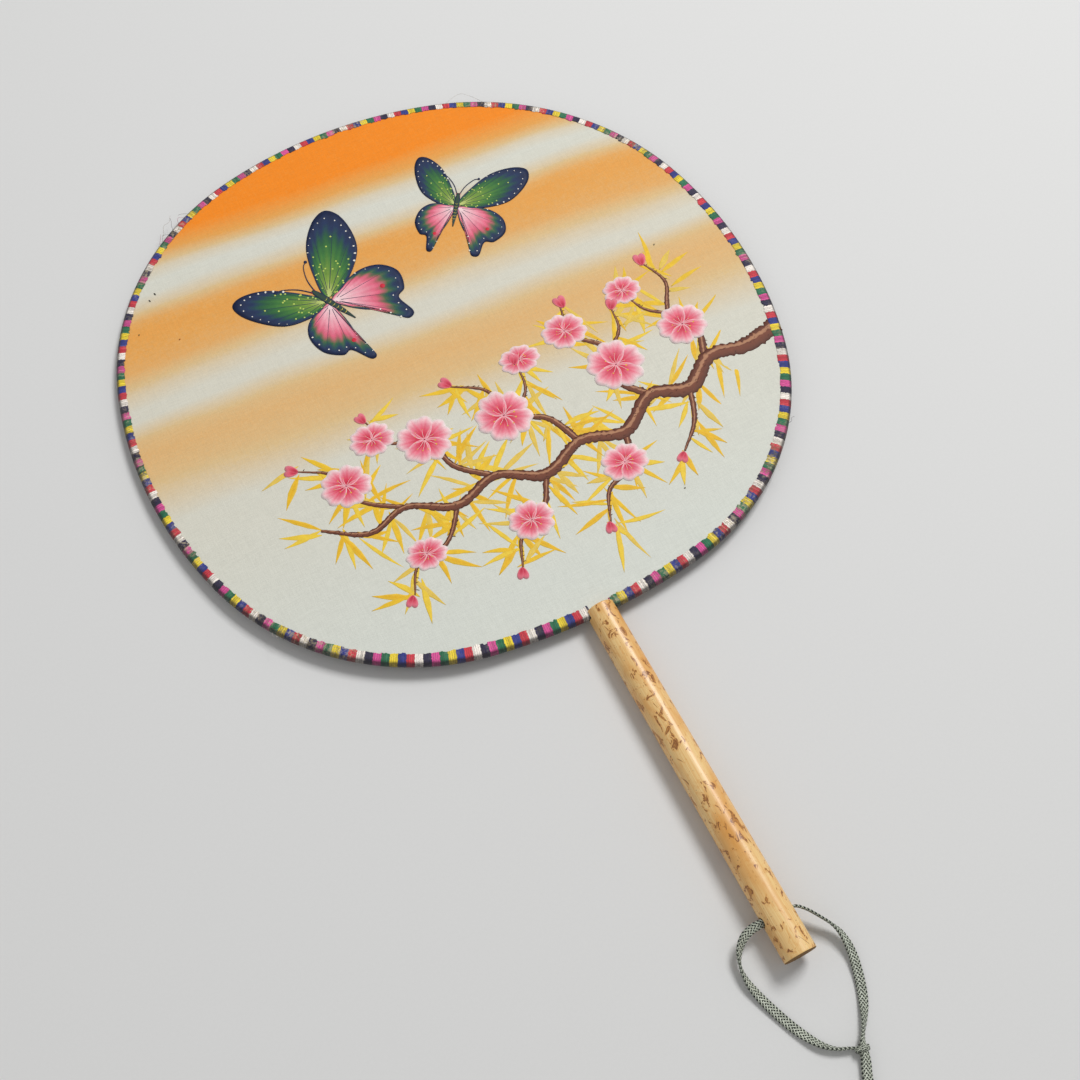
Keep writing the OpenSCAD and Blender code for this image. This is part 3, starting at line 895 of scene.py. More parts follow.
        # Rubbed stretches lose their colour thread by thread, to the cream and olive base below: faint ones
        # anywhere, about 24 mm apart, and the strong ones at their places, both frayed at a grain of 1 mm
        fray = add("TexNoise", {"Vector": spot, "Scale": 900.0, "Detail": 4.0, "Roughness": 0.75})
        faint = add("TexNoise", {"Vector": spot, "Scale": 42.0, "Roughness": 0.6})
        faint = add("ValToRGB", {0: faint}, stops=[(0.46, 0.06), (0.62, 0.8)])
        stops = []
        for middle, half in self.RUBBED:
            stops += [(middle - half, 0.0), (middle, 1.0), (middle + half, 0.0)]
        strong = add("MapRange", {0: place, 1: first, 2: last})
        strong = add("ValToRGB", {0: strong}, stops=stops)
        wear = add("Math", {0: strong, 1: faint}, operation="MAXIMUM")
        worn = add("ValToRGB", {0: fray}, stops=[(0.45, 0.0), (0.58, 1.0)])
        worn = add("Math", {0: worn, 1: wear}, operation="MULTIPLY")
        base = add("Mix", {0: tint, 6: opaque(looks.olive), 7: opaque(looks.worn)}, 2, data_type="RGBA")
        shade = add("Mix", {0: worn, 6: varied, 7: base}, 2, data_type="RGBA")
        # The outer side, from half a millimetre off the top, is soiled from lying and handling
        side = add("Math", {0: across, 1: 0.1}, operation="MULTIPLY")
        side = add("ValToRGB", {0: side}, stops=[(0.05, 0.0), (0.135, 0.9), (1.0, 0.9)])
        thin = add("ValToRGB", {0: fray}, stops=[(0.35, 1.0), (0.75, 0.55)])
        soil = add("Math", {0: side, 1: thin}, operation="MULTIPLY")
        add("Mix", {0: soil, 6: shade, 7: opaque(looks.soil)}, 2, feeds="Base Color", data_type="RGBA")
        ply = add("Mapping", {"Vector": own, "Rotation": (0, 0, 0.6)})
        twist = add("TexWave", {"Vector": ply, "Scale": 1.6, "Distortion": 1.5}, 1)
        add("Bump", {"Height": twist, "Strength": 0.35, "Distance": 0.00008}, feeds="Normal")
        return finish


def weave(add):
    """Plain weave of fine silk: warp and weft streaks and the small slubs between them"""
    fine = 1 / settings().silk.thread
    place = add("TexCoord", {}, "Object")
    streaks = []
    for scale in ((fine, fine * 0.1, fine), (fine * 0.1, fine, fine)):
        threads = add("Mapping", {"Vector": place, "Scale": scale, "Rotation": (0, 0, 0.02)})
        streaks.append(add("TexNoise", {"Vector": threads, "Scale": 1.0}))
    both = add("Math", dict(enumerate(streaks)), operation="ADD")
    both = add("Math", {0: both, 1: 0.7}, operation="MULTIPLY")
    slubs = add("TexNoise", {"Vector": place, "Scale": fine * 1.4, "Detail": 3.0})
    return add("Math", {0: slubs, 1: 1.4, 2: both}, operation="MULTIPLY_ADD")


def dyed_ground(add, cloth):
    """Silk with soft airbrushed bands: each sets in quickly at its top and fades away below"""
    looks = settings().silk
    turn = looks.band_turn
    place = add("TexCoord", {}, "Object")
    upwards = (-math.sin(turn), math.cos(turn), 0)
    across = add("VectorMath", {0: place, 1: upwards}, 1, operation="DOT_PRODUCT")
    # The bands wander by some millimetres, in waves of 110 by 45 mm
    cloud = add("Mapping", {"Vector": place, "Scale": (9.0, 22.0, 9.0)})
    cloud = add("TexNoise", {"Vector": cloud, "Scale": 1.0})
    cloud = add("Math", {0: cloud, 1: 0.5}, operation="SUBTRACT")
    wander = add("Math", {0: cloud, 1: 0.012, 2: across}, operation="MULTIPLY_ADD")
    # Strength of the dye by the distance up the fan, in metres
    low, high = -0.04, 0.19
    stops = [(-0.036, 0.0), (0.042, 0.05), (0.052, 0.2), (0.062, 0.36), (0.072, 0.42), (0.079, 0.36),
             (0.089, 0.06), (0.094, 0.06), (0.1015, 0.18), (0.107, 0.34), (0.112, 0.52), (0.118, 0.57),
             (0.127, 0.62), (0.1315, 0.55), (0.137, 0.22), (0.143, 0.04), (0.148, 0.03), (0.153, 0.14),
             (0.1605, 0.6), (0.17, 1.0)]
    dye = add("MapRange", {0: wander, 1: low, 2: high})
    dye = add("ValToRGB", {0: dye}, stops=[((way - low) / (high - low), strong) for way, strong in stops])
    # The spray's droplets, a mist of 1 mm
    mist = add("TexNoise", {"Vector": place, "Scale": 900.0})
    mist = add("Math", {0: mist, 1: 0.3, 2: 0.85}, operation="MULTIPLY_ADD")
    dye = add("Math", {0: dye, 1: mist}, operation="MULTIPLY")
    shades = [(0.0, looks.ground), (0.3, looks.faint), (0.6, looks.middling), (1.0, looks.orange)]
    shade = add("ValToRGB", {0: dye}, stops=shades)
    light = add("MapRange", {0: cloth, 1: 0.95, 2: 1.85, 3: 0.9, 4: 1.07})
    add("VectorMath", {0: shade, 3: light}, feeds="Base Color", operation="SCALE")


class FAN_OT_silk(Operator):
    """The silk: one sheet pasted flat on the hoop, its edge turned down round the wire"""
    bl_idname = "fan.silk"
    bl_label = "Silk"

    # Middle of the face's rings, and the rings as shares of the way from it to the hoop
    MIDDLE = (0, 0.002)
    SHARES = (*np.linspace(0.02, 0.94, 40), *np.linspace(0.955, 1.0, 6))
    # The fold's first and last angle round the wire, in degrees
    FOLD = (75, -90)
    # Faint ripples where the tape holds the silk: height in metres, place and breadth as shares of the way
    # out, and two rates at which they come along the hoop
    RIPPLE = 0.00005
    RIPPLE_AT = 0.9
    RIPPLE_WIDE = 0.08
    RIPPLE_RATES = (260, 37)

    def execute(self, context):
        h = settings().hoop
        points, ways, along = hoop_line(320)
        shares = np.array(self.SHARES)
        centre = np.array(self.MIDDLE)

        def face(height):
            """Concentric rings of the flat face, with its ripples"""
            flat = centre + (points - centre)[None] * shares[:, None, None]
            pull = self.RIPPLE * np.exp(-((shares - self.RIPPLE_AT) / self.RIPPLE_WIDE) ** 2)
            fast, slow = self.RIPPLE_RATES
            ripple = pull[:, None] * np.sin(along * fast + 2 * np.sin(along * slow))[None]
            return np.concatenate([flat, (height + ripple)[..., None]], -1)

        def fold(radius):
            """The edge turned down round the outside of the wire"""
            turn = np.radians(np.linspace(*self.FOLD, 8))
            flat = points[None] + radius * np.cos(turn)[:, None, None] * circle(ways)[None]
            high = np.broadcast_to((radius * np.sin(turn))[:, None, None], (*flat.shape[:2], 1))
            return np.concatenate([flat, high], -1)

        rings = lay_down(np.concatenate([face(h.silk_top), fold(h.silk_top), fold(h.silk_low)[::-1],
                                         face(h.silk_low)[::-1]]))
        number, corners = rings.shape[:2]
        piece = Skins().add(rings, np.arange(number), np.arange(corners + 1)).piece("silk_sheet")
        settle(piece, self.finish(), "silk", "silk_screen")
        painting = bpy.data.objects["painting"]
        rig.sheet(piece, flat=(0.262, 0.252), held="stretched", rests_on=["wire_wrap"], area=0.0533,
                 with_pieces=[painting])
        return {"FINISHED"}

    def finish(self):
        """Plain-woven silk sized with alum: matt with a soft sheen, dyed by airbrush"""
        plain = {"Roughness": 0.72, "Sheen Weight": 0.12, "Specular IOR Level": 0.3}
        finish, add = new_finish("painted_silk", plain)
        cloth = weave(add)
        dyed_ground(add, cloth)
        add("Bump", {"Height": cloth, "Strength": 0.35, "Distance": 0.0001}, feeds="Normal")
        return finish


def shades_between(share, stops):
    """Colours for an array of shares, from (place, hex colour) stops"""
    return read_off(share, [place for place, _ in stops], np.array([linear(code) for _, code in stops]))


def turned(points, degrees, at=(0, 0), scale=1.0):
    """Plane points turned about the origin, scaled and moved"""
    turn = math.radians(degrees)
    cosine, sine = math.cos(turn), math.sin(turn)
    return np.asarray(points, float) @ np.array([[cosine, sine], [-sine, cosine]]) * scale + at


class Paint:
    """Collects brush strokes and filled shapes into one thin closed skin of paint.
    Places and widths are in millimetres of the fan's plane, colours are hex codes"""

    # Height of the paint over the silk, how deep its sides go into it, the rise from stroke to stroke, and
    # the least width of a stroke
    TOP = 0.012
    SUNK = -0.05
    STEP = 0.0002
    THINNEST = 0.06
    # A stroke's section: places across it, as shares of its half width, and their heights
    ACROSS = (-1, -0.92, -0.5, 0, 0.5, 0.92, 1)
    HIGH = (SUNK, TOP / 2, TOP, TOP, TOP, TOP / 2, SUNK)

    def __init__(self):
        self.skins, self.colours, self.lift = Skins(), [], 0.0

    def layer(self, flat, high, shades):
        """Adds rings of corners with a height and a colour each; every new one lies on what is below it"""
        self.lift += self.STEP
        top = settings().hoop.silk_top * MILLI
        rings = np.concatenate([flat, (top + np.where(high < 0, high, high + self.lift))[..., None]], -1)
        number, corners = rings.shape[:2]
        self.skins.add(lay_down(rings / MILLI), np.arange(number), np.arange(corners + 1))
        self.colours.append(np.broadcast_to(shades, rings.shape).reshape(-1, 3))

    def stroke(self, line, widths, middle, sides, ragged=0.0, seed=1, step=0.9):
        """A brush stroke in steps of this length, whose colour runs from the middle to the sides"""
        points, wide, _ = smooth_route(line, step, np.asarray(widths, float)[:, None])
        way = tangents(points)
        across = np.stack([way[:, 1], -way[:, 0]], -1)
        rough = np.random.default_rng(seed).normal(0, ragged, (len(points), 2))
        place = np.array(self.ACROSS)
        half = np.maximum(wide, self.THINNEST) / 2
        grow = np.where(place < 0, 1 + rough[:, :1], 1 + rough[:, 1:])
        flat = points[:, None] + across[:, None] * (place * half * grow)[..., None]
        mix = (np.abs(place) ** 1.5)[None, :, None]
        shades = np.array(linear(middle)) * (1 - mix) + np.array(linear(sides)) * mix
        self.layer(flat, np.broadcast_to(self.HIGH, flat.shape[:2]), shades)

    def shape(self, outline, centre, stops, ripple=0.0, waves=0, rings=7):
        """A filled shape, star-shaped about its centre; the stops of its colour go outwards, rippled"""
        outline, centre = np.asarray(outline, float), np.asarray(centre, float)
        foot = 0.04
        shares = np.concatenate([np.linspace(foot, 1, rings), [1.0, foot]])
        flat = centre + (outline - centre)[None] * shares[:, None, None]
        high = np.where(np.arange(len(shares)) < rings, self.TOP, self.SUNK)[:, None] * np.ones(len(outline))
        high[rings - 1] = self.TOP / 2
        round_share = np.arange(len(outline)) / len(outline)
        rippled = ripple * np.sin(round_share * math.tau * waves)
        shades = shades_between(shares[:, None] + rippled[None], stops)
        self.layer(flat, high, shades)

    def dot(self, centre, radius, code):
        outline = np.asarray(centre) + radius * circle(np.linspace(0, math.tau, 9)[:-1])
        self.shape(outline, centre, ((0, code), (1, code)), rings=2)

    def piece(self, name):
        piece = self.skins.piece(name)
        layer = piece.data.color_attributes.new(name="paint", type="FLOAT_COLOR", domain="POINT")
        colours = np.concatenate(self.colours)
        layer.data.foreach_set("color", np.concatenate([colours, np.ones((len(colours), 1))], 1).ravel())
        return piece


class FAN_OT_painting(Operator):
    """The painting: a blossoming branch with yellow leaves below and two butterflies above, in millimetres"""
    bl_idname = "fan.painting"
    bl_label = "Painting"

    # The branch and its twigs, each by its points and its width at each of them
    BRANCH = (
        ((122, -44), (106, -47), (90, -45), (76, -54), (60, -50), (44, -60), (26, -56), (8, -63), (-10, -55),
         (-28, -60), (-46, -52), (-62, -56), (-78, -47)),
        (7.5, 7, 6.4, 6.6, 5.4, 5.6, 4.6, 4.8, 3.8, 3.8, 2.8, 2.4, 1.2),
    )
    TWIGS = (
        (((88, -45), (92, -32), (86, -20), (92, -6), (88, 6)), (3.6, 2.8, 2.2, 1.6, 0.7)),
        (((87, -21), (78, -14), (74, -4)), (1.9, 1.4, 0.6)),
        (((60, -50), (52, -38), (56, -24), (46, -12), (48, 2)), (3.8, 3, 2.4, 1.7, 0.7)),
        (((55, -26), (64, -18), (66, -8)), (2, 1.4, 0.6)),
        (((26, -56), (20, -42), (8, -34), (4, -20), (-8, -12)), (3.2, 2.8, 2.2, 1.6, 0.7)),
        (((9, -35), (18, -26), (20, -14)), (1.8, 1.3, 0.6)),
        (((-10, -55), (-22, -44), (-26, -30), (-40, -24), (-44, -12)), (2.8, 2.4, 2, 1.4, 0.6)),
        (((-46, -52), (-60, -42), (-64, -28), (-76, -20)), (2.2, 1.8, 1.4, 0.6)),
        (((44, -60), (38, -74), (26, -80), (20, -92)), (3, 2.4, 1.8, 0.7)),
        (((8, -63), (0, -76), (-12, -82), (-18, -94)), (2.6, 2.2, 1.6, 0.7)),
        (((-28, -60), (-38, -72), (-52, -76), (-58, -86)), (2.2, 1.8, 1.3, 0.6)),
        (((76, -54), (70, -68), (60, -78)), (2.6, 2, 0.8)),
    )
    # Blossoms: x, y, radius, turn, and how far each is seen from the side
    BLOSSOMS = (
        (-27, -29, 11.5, 10, 0.95), (-45, -20, 9.5, 50, 0.8), (-62, -34, 10.5, -20, 0.9), (5, -33, 12, 30, 1),
        (22, -13, 9, 70, 0.75), (55, -32, 12.5, 5, 0.95), (44, -9, 10, -40, 0.85), (88, -27, 11, 25, 0.9),
        (74, -2, 8.5, -10, 0.8), (37, -72, 10, 60, 0.85), (-6, -78, 9.5, 15, 0.9), (-47, -73, 8.5, -30, 0.8),
    )
    # Buds: x, y, length, turn
    BUDS = (
        (88, 8, 6, 80), (67, -6, 5.5, 60), (49, 4, 6, 95), (20, -12, 5, 70), (-9, -10, 5.5, 130),
        (-45, -10, 5, 110), (-78, -19, 5.5, 150), (19, -94, 5, -100), (-19, -96, 5, -110),
        (-60, -88, 5, -120), (58, -80, 5, -130),
    )
    # Butterflies: x, y, turn, scale
    BUTTERFLIES = ((-34, 46, 28, 1.0), (33, 66, -34, 0.78))
    # Specks of dirt and one of paint on the silk: x, y, length, turn, colour
    SPECKS = (
        (-94.5, 79.5, 1.1, -75, "#2A2A26"), (-97.5, 77.3, 1.0, -70, "#34342E"),
        (-93.5, 55, 0.6, 20, "#B06A30"), (-107, 64, 0.7, 60, "#8A7440"), (52, -92, 0.6, 10, "#6A6048"),
        (97, 12, 0.7, 40, "#7A7058"),
    )

    # Outlines of a butterfly's right wings, and their colours from the root outwards
    FORE_WING = ((1, 2), (6, 12), (15, 23), (26, 29), (34, 29), (36, 23), (33, 14), (27, 6), (17, 1), (7, -1))
    HIND_WING = ((1, -1), (9, 0), (19, -1), (26, -6), (28, -14), (23, -21), (18, -22), (16, -31), (12, -31),
                 (10, -22), (5, -14), (2, -7))
    FORE_SHADES = ((0, "#D9E08A"), (0.18, "#7FA03A"), (0.5, "#3C7A35"), (0.68, "#1F5A38"), (0.8, "#16305A"),
                   (1, "#101B40"))
    HIND_SHADES = ((0, "#FBE4E4"), (0.35, "#F7A9B8"), (0.62, "#E8607F"), (0.76, "#2B6B3A"), (0.88, "#16305A"),
                   (1, "#101B40"))
    NAVY = "#15224A"
    CREAM = "#F7F3E4"
    RED = "#D8273F"

    DARK_BARK = "#4E2316"
    BARK = "#7B4128"
    PALE_BARK = "#B98562"
    LEAF_SHADES = ("#F4C417", "#F0B90E", "#F6D23A", "#E9C75A")
    LEAF_EDGE = "#EFCB45"
    PETAL_SHADES = ((0, "#C81F3F"), (0.3, "#E4405C"), (0.6, "#F17F93"), (0.85, "#F9C6CB"), (1, "#FDF1EE"))
    BUD_SHADES = ((0, "#B51D3A"), (0.5, "#DE3E59"), (1, "#F391A0"))
    SEPAL_SHADES = ((0, "#5A2A1C"), (1, "#7C4A30"))
    STAMENS = 11
    # No leaf goes further from the middle than this
    CLEAR_OF_TAPE = 117
    # Distances along a twig between two sprays of leaves, and between two dabs
    SPRAY_STEP = 7.5
    DAB_STEP = 2.2

    def execute(self, context):
        paint = Paint()
        self.leaves(paint)
        self.branches(paint)
        for x, y, radius, turn, seen in self.BLOSSOMS:
            self.blossom(paint, (x, y), radius, turn, seen)
        for x, y, long, turn in self.BUDS:
            self.bud(paint, (x, y), long, turn)
        for x, y, turn, scale in self.BUTTERFLIES:
            self.butterfly(paint, (x, y), turn, scale)
        for x, y, long, turn, code in self.SPECKS:
            mark = turned([(-long / 2, 0), (0, 0.04), (long / 2, 0)], turn, (x, y))
            paint.stroke(mark, (0.3, 0.5, 0.25), code, code, step=0.3)
        settle(paint.piece("painting"), self.finish(), "silk")
        return {"FINISHED"}

    def leaves(self, paint):
        """Slim yellow leaves in sprays below and between the twigs"""
        draw = random.Random(5)
        t = np.linspace(0, 1, 6)
        for line, _ in (self.BRANCH, *self.TWIGS):
            for place in smooth_route(line, self.SPRAY_STEP)[0][1:]:
                aim = draw.choice((-115, -60, 35, 150)) + draw.uniform(-25, 25)
                for k in range(draw.choice((2, 3, 3, 4))):
                    long = draw.uniform(11, 21)
                    lean = aim + (k - 1) * draw.uniform(22, 34)
                    bend = draw.uniform(-0.16, 0.16)
                    leaf = np.stack([t * long, bend * long * t * t], -1)
                    leaf = turned(leaf, lean, place + [draw.uniform(-2, 2), draw.uniform(-2, 2)])
                    if np.linalg.norm(leaf, axis=1).max() > self.CLEAR_OF_TAPE:
                        continue
                    widths = draw.uniform(1.7, 2.7) * np.array([0.12, 0.7, 1, 0.9, 0.5, 0.04])
                    paint.stroke(leaf, widths, draw.choice(self.LEAF_SHADES), self.LEAF_EDGE, ragged=0.06,
                                 seed=draw.randrange(999), step=1.7)

    def branches(self, paint):
        """The brown branch and its twigs, dark below and pale on top, with dabs of a nearly dry brush"""
        draw = random.Random(8)
        for line, widths in (*self.TWIGS, self.BRANCH):
            paint.stroke(line, widths, self.BARK, self.DARK_BARK, ragged=0.1, seed=draw.randrange(999))
            widths = np.array(widths, float)
            lit = np.array(line, float) + [0.1, 0.18] * widths[:, None]
            paint.stroke(lit, widths * 0.4, self.PALE_BARK, self.BARK, ragged=0.3, seed=draw.randrange(999))
            fine, wide, _ = smooth_route(line, self.DAB_STEP, widths[:, None])
            for point, width in zip(fine[:-1], wide[:-1, 0]):
                dab = point + np.array([draw.uniform(-0.35, 0.35), draw.uniform(-0.4, 0.3)]) * width
                short = turned([(0, 0), (0.7, 0.1), (1.3, 0)], draw.uniform(-40, 40), dab)
                paint.stroke(short, (0.1, 0.32, 0.08), self.DARK_BARK, self.DARK_BARK)

    def petal(self, paint, at, turn, long, wide, stops, notch=0.12, flatten=1.0, corners=28, rings=6):
        """One petal from its foot outwards, a little notched at its tip"""
        t = np.linspace(0, math.tau, corners + 1)[:-1]
        x = long * (1 - np.cos(t)) / 2 - notch * long * np.exp(-((t - math.pi) / 0.3) ** 2)
        y = wide / 2 * np.sin(t) * (0.62 + 0.38 * (1 - np.cos(t)) / 2)
        local = turned(np.stack([x, y], -1), turn)
        local[:, 1] *= flatten
        centre = turned([(0.12 * long, 0)], turn)[0] * [1, flatten]
        paint.shape(local + at, centre + at, stops, ripple=0.05, waves=11, rings=rings)

    def blossom(self, paint, at, radius, turn, seen):
        """Five petals, red at the heart and white at the rim, with stamens"""
        for k in (0, 2, 4, 1, 3):
            aim = turn + 72 * k
            self.petal(paint, at, aim, radius, radius * 1.12, self.PETAL_SHADES, flatten=seen)
            crease = turned([(0.3, 0), (0.6, 0.03), (0.84, 0)], aim, scale=radius) * [1, seen] + at
            paint.stroke(crease, (0.1, 0.28, 0.05), "#E88796", "#F3A9B2")
        draw = random.Random(int(radius * 100 + turn))
        paint.dot(at, radius * 0.11, "#8E1230")
        for k in range(self.STAMENS):
            aim = turn + 360 * k / self.STAMENS + draw.uniform(-8, 8)
            reach = draw.uniform(0.3, 0.44)
            thread = turned([(0.06, 0), (reach * 0.6, 0.02), (reach, 0)], aim, scale=radius) * [1, seen] + at
            paint.stroke(thread, (0.22, 0.18, 0.14), "#FBE9E2", "#F6C9CB")
            paint.dot(thread[-1], radius * 0.036, "#F2C013")

    def bud(self, paint, at, long, turn):
        """Two closed petals in three brown sepals"""
        foot = np.asarray(at) - turned([(long * 0.5, 0)], turn)[0]
        for lean in (16, -16):
            self.petal(paint, foot, turn + lean, long, long * 0.62, self.BUD_SHADES, notch=0,
                       corners=20, rings=4)
        for lean in (-28, 0, 28):
            self.petal(paint, foot, turn + lean, long * 0.36, long * 0.22, self.SEPAL_SHADES, notch=0,
                       corners=12, rings=2)

    def outline(self, points):
        """A smooth closed outline through the points"""
        ring = [*points[-3:], *points, *points[:3]]
        fine, keys, _ = smooth_route(ring, 1.0, np.arange(len(ring))[:, None])
        inside = (keys[:, 0] >= 3) & (keys[:, 0] < 3 + len(points))
        return fine[inside]

    def wing(self, paint, is_fore, side, seen, put, scale):
        """One wing with its veins and dots, on the right (1) or left (-1); seen is how broad it looks"""
        points, stops = (self.FORE_WING, self.FORE_SHADES) if is_fore else (self.HIND_WING, self.HIND_SHADES)
        rim = put((self.outline(points) * [side * seen, 1])[::side])
        root = put([(1.5 * side * seen, 0.5 if is_fore else -2)])[0]
        paint.shape(rim, root, stops, ripple=0.035, waves=17, rings=14)

        def outwards(share, out):
            """The place this far out from the root to the rim, at this share of the rim's length"""
            return root + (rim[int(share * len(rim))] - root) * out

        for share in np.linspace(0.12, 0.88, 7) if is_fore else np.linspace(0.2, 0.9, 6):
            vein = outwards(share, np.array([[0.1], [0.5], [0.93]]))
            paint.stroke(vein, np.array([0.5, 0.35, 0.1]) * scale, self.NAVY, self.NAVY, step=2.5)
        reach = np.linalg.norm(rim - root, axis=1)
        for share in np.linspace(0.08, 0.93, 21 if is_fore else 17):
            if reach[int(share * len(rim))] >= 0.5 * reach.max():
                paint.dot(outwards(share, 0.91), 0.62 * scale, self.CREAM)
        if is_fore:
            draw = random.Random(21)
            for share in np.linspace(0.1, 0.92, 26):
                paint.dot(outwards(share, draw.choice((0.34, 0.46, 0.58, 0.7))), 0.42 * scale, "#C9DC6A")
        else:
            paint.dot(outwards(0.42, 0.7), 1.7 * scale, self.RED)
            paint.dot(outwards(0.42, 0.7), 0.8 * scale, self.NAVY)

    def butterfly(self, paint, at, turn, scale):
        """Green wings with navy rims and white dots; pink hind wings with tails"""
        def put(points):
            return turned(points, turn, at, scale)

        for side, seen in ((1, 1.0), (-1, 0.72)):
            for is_fore in (False, True):
                self.wing(paint, is_fore, side, seen, put, scale)
        body = put([(0, 8), (0, 3), (0, -5), (0, -14)])
        paint.stroke(body, np.array([1.6, 3.1, 2.6, 0.5]) * scale, "#2E4A33", self.NAVY)
        for y in (1, -1, -3, -5, -7, -9):
            band = put([(-0.95, y), (0, y - 0.35), (0.95, y)])
            paint.stroke(band, np.array([0.1, 0.45, 0.1]) * scale, "#E8D45A", "#C9B23A")
        for side in (1, -1):
            feeler = put([(0.5 * side, 7), (3 * side, 13), (7 * side, 18), (9.5 * side, 19)])
            paint.stroke(feeler, np.array([0.5, 0.4, 0.35, 0.3]) * scale, self.NAVY, self.NAVY)
            paint.dot(feeler[-1], 0.7 * scale, self.NAVY)
            paint.dot(put([(0.8 * side, 7.6)])[0], 0.4 * scale, self.RED)

    def finish(self):
        """Gouache on silk: matt and opaque, with the weave showing through and uneven cover at 2.4 mm"""
        finish, add = new_finish("gouache_paint", {"Roughness": 0.6, "Specular IOR Level": 0.35})
        cloth = weave(add)
        light = add("MapRange", {0: cloth, 1: 0.9, 2: 1.9, 3: 0.84, 4: 1.04})
        cover = add("TexNoise", {"Vector": add("TexCoord", {}, "Object"), "Scale": 420.0, "Detail": 3.0})
        cover = add("Math", {0: cover, 1: 0.5}, operation="SUBTRACT")
        cover = add("Math", {0: cover, 1: 0.35}, operation="MULTIPLY")
        light = add("Math", {0: light, 1: cover}, operation="ADD")
        pigment = add("Attribute", {}, attribute_name="paint")
        add("VectorMath", {0: pigment, 3: light}, feeds="Base Color", operation="SCALE")
        add("Bump", {"Height": cloth, "Strength": 0.3, "Distance": 0.0001}, feeds="Normal")
        return finish


